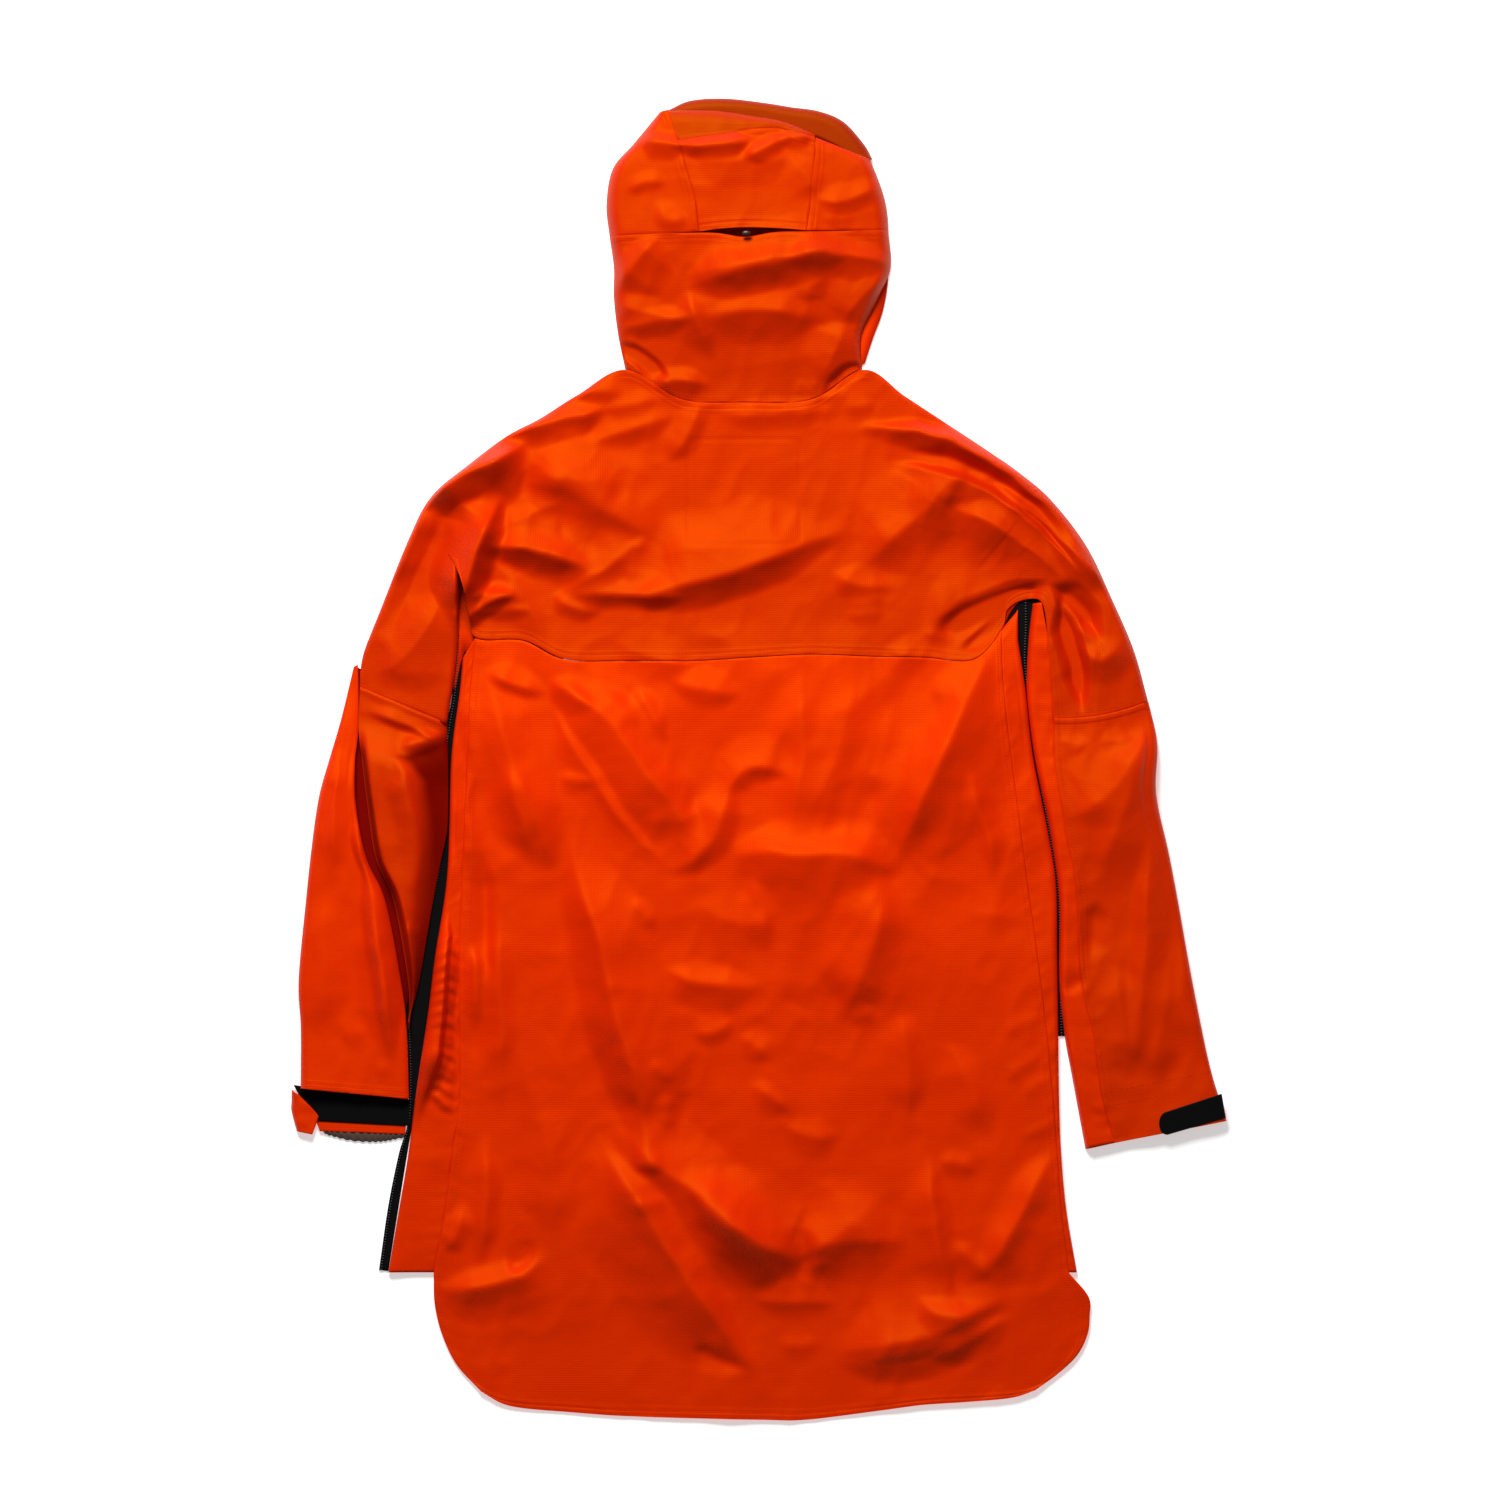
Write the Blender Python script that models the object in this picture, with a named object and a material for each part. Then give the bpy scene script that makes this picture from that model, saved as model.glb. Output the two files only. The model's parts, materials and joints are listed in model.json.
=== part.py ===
"""A pull-on rain anorak laid flat on its front, hood up, sleeves down beside the body.

Real size in millimetres, turned to metres when a mesh is made.  +Z is up, +Y runs to the
hood and +X is to the right of someone who looks down on the coat's back.  The origin is the
middle of its outline, on the surface that it lies on.

Every cut piece is one closed wall of cloth.  The walls that show follow cloth_height(), a
low loft with the coat's own folds pressed into it, so that pieces meet along their seams.
"""
import math

import bpy
import numpy as np

# ---------------------------------------------------------------- driving dimensions, mm
MM = 0.001
CLOTH = 1.6             # wall: face cloth, membrane and backing, as it lies with its turnings
SEAM_GAP = 0.5          # clear space between two pieces that a seam joins
LAY_GAP = 0.5           # clear space between a piece and what it lies on
FLOOR_INSET = 2.7       # from a folded edge to the layer that lies on the floor inside it
BODY_LOFT = 7.0         # height of the back panel where it has no fold
EDGE_RADIUS = 6.0       # how far in from the outline a folded edge rounds over
HOOD_RADIUS = 24.0      # the same on the hood, which stands up
CROWN_RADIUS = 12.0     # round-over of the crown's fold above the brim
BRIM_HEIGHT = 9.0
CROWN_REST = BRIM_HEIGHT + 2.5    # height of the crown's fold, on the brim
SLIT_REST = 3.0         # height of the armhole's folded edge over the layer under it
SLIT_FLOOR = CLOTH + 0.4     # lowest place of the armhole's folded edge
CREASE_RADIUS = 7.0     # round-over of the left sleeve's lobe at its long crease
CREASE_DROP = 0.4       # share of its height that the lobe loses there
LOBE_REST = 3.9         # least height of the left under-sleeve past its folded edge
TAB_TURN = 7.5          # width of the cuff tab's turned-under edge
HOOD_BACK_WIDTH = 262.0      # along the cross seam
TAPE_THICK = 1.6
ZIP_TAPE_THICK = 2.4    # zip tape with half of its coil
TAIL_DROP_START = 1, -494    # the back leaves the front's hem and
TAIL_DROP_END = 1, -523      # reaches the floor

COLOURS = {
    "shell": (0.85, 0.06, 0.003, 1.0),
    "hook_and_loop": (0.012, 0.012, 0.013, 1.0),
    "zip_tape": (0.010, 0.010, 0.011, 1.0),
    "lining": (0.36, 0.27, 0.23, 1.0),
    "toggle_plastic": (0.03, 0.015, 0.012, 1.0),
}
ROUGHNESS = {"shell": 0.62, "hook_and_loop": 0.95, "zip_tape": 0.7, "lining": 0.8, "toggle_plastic": 0.4}

# ---------------------------------------------------------------- the lie of the cloth
# Soft mounds, mm: middle, half-spans, rise.
MOUNDS = [
    # mid_x, mid_y, span_x, span_y, rise
    (-10, 501, 128, 128, 27.0),      # hood
    (310, 152, 62, 90, 9.0),        # right shoulder
    (343, -29, 50, 110, 5.0),       # right elbow
    (-317, 171, 52, 100, 6.0),        # left upper sleeve
    (1, -38, 270, 330, 4.0),       # middle of the back
]

# Largest folds, mm: a bent line, its rise (below zero for a trough), and how wide each
# flank is to the left and the right of someone who walks from start to end.
FOLDS = [
    # start_x, start_y, bend_x, bend_y, end_x, end_y, rise, left_width, right_width
    (-313, 247, -275, 277, -231, 296, 8.0, 10, 22),       # left shoulder point
    (-246, 247, -278, 204, -285, 140, 7.0, 9, 16),        # inner edge of left upper sleeve
    (-258, 202, -203, 206, -158, 177, 7.0, 18, 11),       # under it, across the armhole
    (-258, 187, -225, 152, -200, 109, 4.0, 12, 8),
    (-276, 150, -246, 157, -214, 140, -5.0, 9, 9),
    (-232, 295, -165, 247, -108, 210, 5.0, 26, 22),       # down the shoulder blade
    (-187, 157, -66, 133, 71, 213, 10.0, 36, 9),       # long fold across the back
    (134, 289, 215, 283, 282, 218, 13.0, 14, 60),     # right shoulder
    (158, 124, 215, 146, 275, 161, -10.0, 20, 18),    # right armhole
    (281, 152, 294, 109, 304, 60, -8.0, 10, 9),
    (286, 154, 313, 131, 335, 99, -6.0, 10, 9),
    (177, 269, 180, 218, 96, 180, 5.0, 24, 30),
    (-203, 74, -161, -15, -99, -110, 3.5, 13, 12),       # left of the back
    (-258, 76, -213, 14, -178, -111, 5.0, 16, 30),
    (-189, -107, -149, -238, -119, -414, 7.0, 28, 40),
    (-140, -407, -75, -485, -10, -573, 9.0, 32, 28),    # long lower fold
    (-66, -386, 1, -477, 45, -476, 8.0, 44, 18),
    (39, -477, 72, -462, 115, -462, 6.0, 38, 18),
    (230, 121, 186, 23, 127, -104, 12.0, 28, 50),     # right of the back
    (129, -105, 72, -82, -23, -92, 6.0, 14, 38),
    (134, -119, 120, -181, 85, -241, 6.0, 17, 36),
    (284, -371, 240, -456, 205, -496, 6.0, 24, 34),
    (66, -569, 158, -580, 235, -506, 5.0, 22, 28),   # right of the tail
    (-303, -501, -246, -513, -202, -477, 5.0, 24, 14),    # left of the tail
    (15, -10, -42, -2, -50, -97, -4.0, 13, 14),
    (373, 36, 352, -29, 328, -118, 6.0, 16, 34),    # right forearm
    (377, -38, 372, -133, 360, -268, 4.5, 12, 14),
    (-67, 449, 1, 465, 75, 483, 9.0, 22, 11),       # hood
    (-136, 444, -119, 476, -94, 494, 7.0, 9, 20),
    (-79, 574, -45, 575, -11, 582, -5.0, 5, 7),
    (-9, 571, 12, 574, 29, 587, -5.0, 5, 7),
    (-124, 411, -13, 437, 75, 421, 4.0, 12, 18),
    (39, 554, 56, 526, 104, 541, -4.0, 9, 10),
]
CREST_RADIUS = 4.0      # how round the top of a fold is
FOLD_STEPS = 8          # straight steps along a fold's bent line
FADE = 0.22             # share of a fold's length over which each end dies away

# ---------------------------------------------------------------- outlines, mm
# The yoke and both upper sleeves are one cut: an arch from elbow seam to elbow seam.
YOKE_ROWS = [
    # outer_x, outer_y, inner_x, inner_y
    (-379, 68, -296, 33),           # 0 left elbow seam
    (-376, 99, -287, 95),
    (-357, 149, -284, 152),
    (-333, 209, -283, 188),           # 3 top of the left armhole slit
    (-312, 249, -278, 161),
    (-276, 280, -275, 135),
    (-240, 307, -267, 115),           # 6 left end of the yoke seam
    (-208, 324, -223, 113),
    (-173, 346, -183, 95),
    (-127, 370, -123, 94),           # 9 left end of the neck seam
    (-74, 342, -61, 94),
    (-13, 339, -9, 97),
    (50, 342, 50, 100),
    (100, 370, 110, 98),           # 13 right end of the neck seam
    (139, 345, 158, 97),
    (177, 320, 203, 95),
    (215, 295, 230, 123),          # 16 right end of the yoke seam
    (248, 272, 236, 142),
    (278, 246, 250, 151),
    (311, 203, 268, 149),         # 19 top of the under-sleeve
    (335, 153, 274, 114),
    (356, 104, 277, 71),
    (370, 54, 280, 38),         # 22 right elbow seam
]
ROW_SEAM_LEFT, ROW_NECK_LEFT, ROW_NECK_RIGHT, ROW_SEAM_RIGHT = 6, 9, 13, 16
ROW_LAST = len(YOKE_ROWS) - 1
ELBOW_BOW = 9.0         # how far the right elbow seam bows towards the cuff

# The layer under the yoke runs on below the armhole slit.
UNDERYOKE_LEFT = [(-297, 35), (-287, 66), (-284, 83), (-281, 96), (-278, 101), (-274, 97)]
UNDERYOKE_RIGHT = [(228, 102), (235, 131), (250, 151), (268, 149), (274, 114), (277, 71), (280, 38)]
WAIST = (1, 94)[1]    # height down the coat where the layer on the floor is joined

BODY_ROWS = [
    # height of the row down the coat, then its four corners across
    # row_y, left_edge, left_seam, right_seam, right_edge
    (114, -280, -269, 230, 241),
    (66, -284, -274, 232, 251),
    (4, -292, -277, 239, 260),
    (-67, -294, -280, 248, 274),
    (-119, -297, -282, 255, 282),
    (-185, -307, -284, 264, 283),
    (-241, -314, -284, 271, 284),
    (-320, -326, -284, 279, 285),
    (-374, -333, -291, 283, 287),
    (-428, -342, -298, 287, 292),
    (-487, -352, -309, 294, 302),
]

# The back, down its side seams and round the drop tail.
BACK_LEFT = [(-309, -487), (-308, -517), (-301, -546), (-287, -575), (-264, -600)]
BACK_RIGHT = [(294, -487), (313, -510), (314, -528), (312, -546), (302, -566), (283, -584), (262, -599)]
BACK_HEM = [(-264, -600), (-236, -614), (-178, -620), (-116, -624), (1, -627), (45, -627),
            (110, -619), (154, -613), (198, -610), (240, -606), (262, -599)]

RIGHT_SLEEVE_ROWS = [
    # fold_x, fold_y, seam_x, seam_y, outer_x, outer_y, from the elbow to the cuff
    (256, 41, 280, 38, 370, 54),
    (263, -6, 281, -6, 378, 15),
    (276, -68, 291, -68, 377, -33),
    (285, -133, 302, -132, 389, -89),
    (285, -209, 306, -209, 398, -136),
    (290, -261, 317, -261, 411, -209),
    (297, -300, 325, -315, 428, -291),
    (310, -370, 337, -364, 444, -343),
]
UNDERSLEEVE_TOP = [(260, 146, 268, 149), (258, 114, 274, 114), (256, 71, 277, 71)]
PIT_ZIP_ROWS = [(242, 143, 258, 144), (244, 126, 256, 118), (248, 96, 255, 95),
                (253, 66, 255, 66)]

LEFT_SLEEVE_ROWS = [
    # outer_x, outer_y, crease_x, crease_y, inner_x, inner_y, from the elbow to the cuff
    (-385, 88, -381, 90, -296, 33),
    (-397, 38, -380, 30, -295, 7),
    (-408, 0, -383, -2, -295, -29),
    (-418, -37, -382, -44, -296, -67),
    (-425, -86, -372, -94, -303, -101),
    (-430, -133, -354, -135, -310, -138),
    (-437, -209, -339, -213, -323, -213),
    (-435, -254, -334, -257, -332, -246),
    (-435, -312, -332, -322, -332, -246),
]
SIDE_ZIP_ROWS = [
    (-300, -97, -298, -97),
    (-311, -162, -304, -162),
    (-321, -219, -314, -219),
    (-329, -304, -325, -304),
    (-332, -346, -330, -346),
    (-340, -374, -334, -374),
    (-350, -423, -342, -423),
    (-361, -485, -352, -486)
]

CUFF_LEFT = [(-433, -312), (-333, -322), (-336, -356), (-417, -353)]
CUFF_BAND = [(-435, -315), (-332, -323), (-334, -348), (-418, -343)]
CUFF_TAB = [(-444, -314), (-437, -318), (-420, -336), (-419, -342), (-424, -356), (-439, -353), (-444, -344)]
LINING_TOP = [(-415, -354), (-389, -355), (-360, -356), (-336, -357)]
LINING_EDGE = [(-412, -356), (-387, -362), (-360, -363), (-337, -359)]
CUFF_PATCH = [(378, -337), (439, -317), (443, -340), (381, -358)]

HOOD_LEFT_ROWS = [
    # outer_x, outer_y, seam_x, seam_y, from the crown to the cross seam
    (-94, 614, -90, 614),
    (-119, 585, -79, 587),
    (-139, 561, -70, 564),
    (-145, 527, -61, 532),
    (-142, 496, -57, 500),
]
HOOD_RIGHT_ROWS = [
    # seam_x, seam_y, outer_x, outer_y
    (53, 590, 106, 569),
    (53, 570, 113, 552),
    (50, 546, 119, 534),
    (48, 522, 122, 518),
    (45, 501, 123, 502),
]
CROWN_ROWS = [
    # fold_x, fold_y, seam_x, seam_y, left to right
    (-88, 615, -78, 587),
    (-66, 616, -59, 590),
    (-37, 615, -35, 593),
    (-9, 611, -9, 597),
    (20, 606, 15, 598),
    (42, 598, 36, 594),
    (53, 593, 53, 590),
]
BRIM_ROWS = [
    # outer_x, outer_y, inner_x, inner_y, left to right
    (-86, 616, -82, 617),
    (-65, 625, -64, 618),
    (-32, 627, -36, 617),
    (5, 623, -8, 613),
    (30, 619, 21, 608),
    (57, 615, 43, 600),
    (80, 605, 66, 591),
    (99, 584, 87, 580),
    (107, 570, 104, 571),
]
CROWN_EDGE = [(-88, 615), (-66, 616), (-37, 615), (-9, 611), (20, 606), (42, 598), (55, 592), (82, 581),
              (106, 569)]
HOOD_BACK_LEFT = [(-142, 496), (-138, 467), (-138, 439), (-134, 404), (-127, 370)]
HOOD_BACK_RIGHT = [(123, 502), (125, 467), (120, 437), (110, 402), (100, 370)]
CROSS_SEAM = [(-142, 496), (-100, 498), (-57, 499), (-9, 500), (45, 500), (84, 501), (123, 502)]
HOOD_UNDER_LEFT = [(-122, 368), (-129, 404), (-133, 439), (-134, 467), (-140, 517), (-133, 557), (-113, 581),
                   (-90, 607), (-66, 619)]
HOOD_UNDER_RIGHT = [(94, 368), (104, 399), (113, 427), (121, 462), (117, 503), (114, 527), (107, 549),
                    (92, 579), (71, 603)]
CENTRE_TOP = [(-79, 587), (-59, 590), (-35, 593), (-9, 597), (15, 598), (36, 594), (53, 590)]
CENTRE_BOTTOM = [(-57, 500), (-32, 503), (-9, 504), (18, 503), (45, 501)]
FLAP_LIFT = 3.0         # how far the flap's open edge stands off the panel below it
CORD_LOCK = (-12, 496)
CORD_LOCK_SIZE = (9.0, 5.0, 3.5)


# ---------------------------------------------------------------- curves
def smooth_curve(points, places):
    """Catmull-Rom curve through the points; place 0 is the first point, 1 the second."""
    points = np.asarray(points, float)
    places = np.asarray(places, float)
    first = np.clip(np.floor(places).astype(int), 0, len(points) - 2)
    step = (places - first)[:, None]
    ends = np.vstack([2 * points[0] - points[1], points, 2 * points[-1] - points[-2]])
    a, b, c, d = (ends[first + k] for k in range(4))
    cubic = (3 * b - a - 3 * c + d) * step ** 3
    return 0.5 * (2 * b + (c - a) * step + (2 * a - 5 * b + 4 * c - d) * step ** 2 + cubic)


def even_places(points, count, start=0.0, end=None):
    """Places along a curve, evenly spaced by its length."""
    if end is None:
        end = len(points) - 1
    fine = np.linspace(start, end, 30 * len(points))
    steps = np.linalg.norm(np.diff(smooth_curve(points, fine), axis=0), axis=1)
    length = np.concatenate([[0.0], np.cumsum(steps)])
    return np.interp(np.linspace(0.0, length[-1], count), length, fine)


def columns(rows, first):
    """Two neighbouring columns of a table, as points."""
    return np.array([row[first:first + 2] for row in rows], float)


def ease(value, start, end):
    """0 before start, 1 after end, smooth between."""
    share = np.clip((value - start) / (end - start), 0.0, 1.0)
    return share * share * (3 - 2 * share)


# ---------------------------------------------------------------- heights
def path_distance(x, y, path):
    """Signed distance to a bent line (left of it is above 0) and the share walked along it."""
    best = np.full(x.shape, np.inf)
    side = np.ones(x.shape)
    walked = np.zeros(x.shape)
    for number, (start, end) in enumerate(zip(path[:-1], path[1:])):
        run = end - start
        share = ((x - start[0]) * run[0] + (y - start[1]) * run[1]) / (run @ run)
        share = np.clip(share, 0.0, 1.0)
        away_x = x - start[0] - share * run[0]
        away_y = y - start[1] - share * run[1]
        distance = np.hypot(away_x, away_y)
        nearer = distance < best
        best = np.where(nearer, distance, best)
        side = np.where(nearer, np.sign(run[0] * away_y - run[1] * away_x), side)
        walked = np.where(nearer, (number + share) / (len(path) - 1), walked)
    return best, side, walked


def fold_height(x, y):
    """Sum of the folds: each falls away from its line on both sides as a bent sheet does."""
    total = np.zeros(x.shape)
    share = np.linspace(0.0, 1.0, FOLD_STEPS + 1)[:, None]
    for row in FOLDS:
        start, bend, end = (np.array(row[k:k + 2], float) for k in (0, 2, 4))
        rise, left_width, right_width = row[6:]
        path = (1 - share) ** 2 * start + 2 * share * (1 - share) * bend + share ** 2 * end
        distance, side, walked = path_distance(x, y, path)
        width = np.where(side > 0, left_width, right_width)
        flank = np.exp(-(np.hypot(distance, CREST_RADIUS) - CREST_RADIUS) / width)
        fade = ease(walked, 0.0, FADE) * ease(1 - walked, 0.0, FADE)
        total += rise * flank * fade
    return total


def cloth_height(x, y):
    """Height of the upper face of the cloth over the floor, mm."""
    loft = BODY_LOFT * np.ones(x.shape)
    for mid_x, mid_y, span_x, span_y, rise in MOUNDS:
        away = ((x - mid_x) / span_x) ** 2 + ((y - mid_y) / span_y) ** 2
        loft += rise * np.exp(-away ** 1.5)
    tail = ease(-y, -TAIL_DROP_START[1], -TAIL_DROP_END[1])
    two_layers = 2 * CLOTH + LAY_GAP
    least = two_layers * (1 - tail) + (CLOTH + 0.1) * tail
    height = loft * (1 - tail) + (CLOTH + 1.0) * tail + fold_height(x, y)
    spare = height - least
    return least + 0.5 * (spare + np.hypot(spare, 1.5))


def round_over(depth, radius):
    """Quarter round: 0 at a folded edge, 1 from one radius in."""
    inside = 1 - np.clip(depth / radius, 0.0, 1.0)
    return np.sqrt(1 - inside ** 2)


# ---------------------------------------------------------------- meshes
def make_object(name, points, faces, material):
    mesh = bpy.data.meshes.new(name)
    mesh.from_pydata([tuple(point) for point in points * MM], [], faces)
    mesh.shade_smooth()
    mesh.set_sharp_from_angle(angle=math.radians(50))
    mesh.materials.append(material)
    thing = bpy.data.objects.new(name, mesh)
    bpy.context.scene.collection.objects.link(thing)
    return thing


def grid_faces(rows, count, flip=False, offset=0):
    faces = []
    for r in range(rows - 1):
        for c in range(count - 1):
            corner = offset + r * count + c
            face = (corner, corner + count, corner + count + 1, corner + 1)
            faces.append(face[::-1] if flip else face)
    return faces


def grid_normals(grid):
    """Unit normals of a grid of points, pointing up or out of the cloth."""
    down = np.gradient(grid, axis=0)
    across = np.gradient(grid, axis=1)
    normal = np.cross(down, across)
    return normal / np.linalg.norm(normal, axis=2)[..., None]


def border_inward(line, next_line):
    """Level unit vectors from a border of a grid towards the line beside it."""
    inward = next_line - line
    inward = inward * (1.0, 1.0, 0.0)
    return inward / np.maximum(np.linalg.norm(inward, axis=1), 1e-6)[:, None]


BORDERS = {
    "first_row": ((0, slice(None)), (1, slice(None))),
    "last_row": ((-1, slice(None)), (-2, slice(None))),
    "first_column": ((slice(None), 0), (slice(None), 1)),
    "last_column": ((slice(None), -1), (slice(None), -2)),
}


def cloth_wall(name, grid, material, seams=(), thickness=CLOTH, floor=0.0):
    """Closed wall of cloth whose outer face is the grid.

    A seam border is drawn back by half of the seam's gap and cut square, so that the pieces
    beside it, which share its line, never touch it.
    """
    outer = np.array(grid, float)
    normal = grid_normals(outer)
    facing = 1.0 if normal[:, 1, 2].mean() > 0 else -1.0
    shift = -thickness * facing * normal
    for border in seams:
        line, inner_line = BORDERS[border]
        inward = border_inward(outer[line], outer[inner_line])
        kept = shift[line] - inward * np.sum(shift[line] * inward, axis=1)[:, None]
        length = np.linalg.norm(kept, axis=1)[:, None]
        shift[line] = kept * np.maximum(1.0, 0.75 * thickness / np.maximum(length, 1e-6))
    for border in seams:
        line, inner_line = BORDERS[border]
        inward = border_inward(grid[line], grid[inner_line])
        outer[line] = outer[line] + inward * SEAM_GAP / 2
    inner = outer + shift
    inner[..., 2] = np.maximum(inner[..., 2], floor)
    rows, count = outer.shape[:2]
    points = np.concatenate([outer.reshape(-1, 3), inner.reshape(-1, 3)])
    faces = grid_faces(rows, count)
    faces += grid_faces(rows, count, flip=True, offset=rows * count)
    rim = [(0, c) for c in range(count)] + [(r, count - 1) for r in range(1, rows)]
    rim += [(rows - 1, c) for c in range(count - 2, -1, -1)] + [(r, 0) for r in range(rows - 2, 0, -1)]
    rim = [r * count + c for r, c in rim]
    for here, there in zip(rim, rim[1:] + rim[:1]):
        faces.append((here, there, there + rows * count, here + rows * count))
    if facing < 0:
        faces = [face[::-1] for face in faces]
    return make_object(name, points, faces, material)


def slab(name, outline, low, high, material):
    """Flat piece of one outline between two heights."""
    count = len(outline)
    ring = [(x, y, high) for x, y in outline] + [(x, y, low) for x, y in outline]
    faces = [tuple(range(count))[::-1], tuple(range(count, 2 * count))]
    for here in range(count):
        there = (here + 1) % count
        faces.append((here, there, there + count, here + count))
    thing = make_object(name, np.array(ring, float), faces, material)
    return thing


# ---------------------------------------------------------------- plan grids
def depth_steps(radius, width, count):
    """Depths from a folded edge: close where it rounds over, then even to the far side."""
    near = radius * np.array([0.0, 0.05, 0.2, 0.5])
    return np.concatenate([near, np.linspace(radius, width, count)])


def ruled_plan(side_a, side_b, shares):
    """Grid of plan points: rows along the sides, each row straight from side a to side b."""
    shares = np.asarray(shares)[..., None]
    return side_a[:, None] * (1 - shares) + side_b[:, None] * shares


def coons_plan(top, bottom, left, right):
    """Grid of plan points filled in between four border curves."""
    across = np.linspace(0, 1, len(top))[None, :, None]
    down = np.linspace(0, 1, len(left))[:, None, None]
    ruled = top[None] * (1 - down) + bottom[None] * down
    ruled = ruled + left[:, None] * (1 - across) + right[:, None] * across
    corners = (top[0] * (1 - across) + top[-1] * across) * (1 - down)
    corners = corners + (bottom[0] * (1 - across) + bottom[-1] * across) * down
    return ruled - corners


def raise_plan(plan, extra=0.0):
    height = cloth_height(plan[..., 0], plan[..., 1]) + extra
    return np.concatenate([plan, height[..., None]], axis=2)


def edge_rolled(side_a, side_b, radius, count, rest=0.0, roll=1.0, extra=0.0):
    """Raised grid whose first side is a folded edge that rounds down to its rest height."""
    width = np.linalg.norm(side_b - side_a, axis=1)
    own_radius = np.minimum(radius, 0.6 * width)
    depths = np.array([depth_steps(r, w, count) for r, w in zip(own_radius, width)])
    plan = ruled_plan(side_a, side_b, depths / width[:, None])
    grid = raise_plan(plan, extra)
    rounded = round_over(depths, own_radius[:, None])
    full = grid[..., 2] * rounded + rest * (1 - rounded)
    roll = np.asarray(roll)[..., None] if np.ndim(roll) else roll
    grid[..., 2] = full * roll + grid[..., 2] * (1 - roll)
    return grid


def wrap_grid(top, edge, floor_end, level, columns_top=6, columns_floor=6):
    """Raised grid that runs over the top to a folded edge, round it and back along the floor.

    top, edge and floor_end are plan lines; level gives the height of the upper face.
    """
    width = np.linalg.norm(edge - top, axis=1)
    out = (edge - top) / width[:, None]
    height = level(edge - out * 4.0)
    reach = np.minimum(height / 2, 0.45 * width)
    parts = []
    for share in np.linspace(0, 1, columns_top):
        plan = top + out * (share * (width - reach))[:, None]
        rise = level(plan) if share < 1 else height
        parts.append(np.column_stack([plan, rise]))
    for turn in np.radians([45, 0, -45]):
        plan = edge - out * (reach * (1 - math.cos(turn)))[:, None]
        parts.append(np.column_stack([plan, height / 2 * (1 + math.sin(turn))]))
    start = edge - out * reach[:, None]
    for share in np.linspace(0, 1, columns_floor):
        plan = start * (1 - share) + floor_end * share
        parts.append(np.column_stack([plan, np.zeros(len(plan))]))
    return np.stack(parts, axis=1)


def sleeve_level(extra):
    """Height of the cloth over plan points, with a loft of its own for each row."""
    def level(plan):
        return cloth_height(plan[:, 0], plan[:, 1]) + extra
    return level


# ---------------------------------------------------------------- body outlines
YOKE_OUTER = columns(YOKE_ROWS, 0)
YOKE_INNER = columns(YOKE_ROWS, 2)
STEPS_PER_ROW = 2
BODY_STEPS = 20         # rows down the body, shared by front and back so that their seams match


def yoke_places(start, end):
    return np.linspace(start, end, (end - start) * STEPS_PER_ROW + 1)


def body_line(corner, heights):
    """Plan points of one of the body's four long lines at given heights down the coat."""
    table = np.array(BODY_ROWS, float)
    fine = smooth_curve(table[:, [corner, 0]], np.linspace(0, len(table) - 1, 200))
    return np.column_stack([np.interp(-heights, -fine[:, 1], fine[:, 0]), heights])


LEFT_EDGE, LEFT_SEAM, RIGHT_SEAM, RIGHT_EDGE = 1, 2, 3, 4
FRONT_HEM = BODY_ROWS[-1][0]


# ---------------------------------------------------------------- pieces
def make_yoke(material):
    places = yoke_places(0, ROW_LAST)
    outer = smooth_curve(YOKE_OUTER, places)
    inner = smooth_curve(YOKE_INNER, places)
    width = np.linalg.norm(inner - outer, axis=1)
    outer_roll = ease(np.abs(places - 11), 2.0, 2.7) * ease(places, 0.2, 1.3)
    inner_roll = 1 - ease(places, 4.6, 5.6)
    near = np.array([0.0, 1.0, 3.0, EDGE_RADIUS])
    even = np.linspace(0, 1, 9)[1:-1]
    middle = EDGE_RADIUS + even[None] * (width[:, None] - 2 * EDGE_RADIUS)
    depths = np.hstack([np.tile(near, (len(places), 1)), middle, width[:, None] - near[::-1]])
    shares = depths / width[:, None]
    plan = ruled_plan(outer, inner, shares)
    plan[..., 1] -= ELBOW_BOW * 4 * shares * (1 - shares) * ease(places, 20.5, ROW_LAST)[:, None]
    grid = raise_plan(plan)
    edge_in = round_over(depths, EDGE_RADIUS)
    slit_in = round_over(width[:, None] - depths, EDGE_RADIUS)
    outward = grid[..., 2] * (1 - outer_roll[:, None] * (1 - edge_in))
    lowered = outward * slit_in + SLIT_REST * (1 - slit_in)
    grid[..., 2] = outward * (1 - inner_roll[:, None]) + lowered * inner_roll[:, None]
    over_layer = (places[:, None] < ROW_SEAM_LEFT + 1) & (shares > 0.5) | (places[:, None] < 1.3)
    floor = np.where(over_layer, SLIT_FLOOR, 0.0)
    grid[..., 2] = np.where(over_layer, np.maximum(grid[..., 2], SLIT_REST), grid[..., 2])
    return cloth_wall("yoke", grid, material, seams=tuple(BORDERS), floor=floor)


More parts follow.
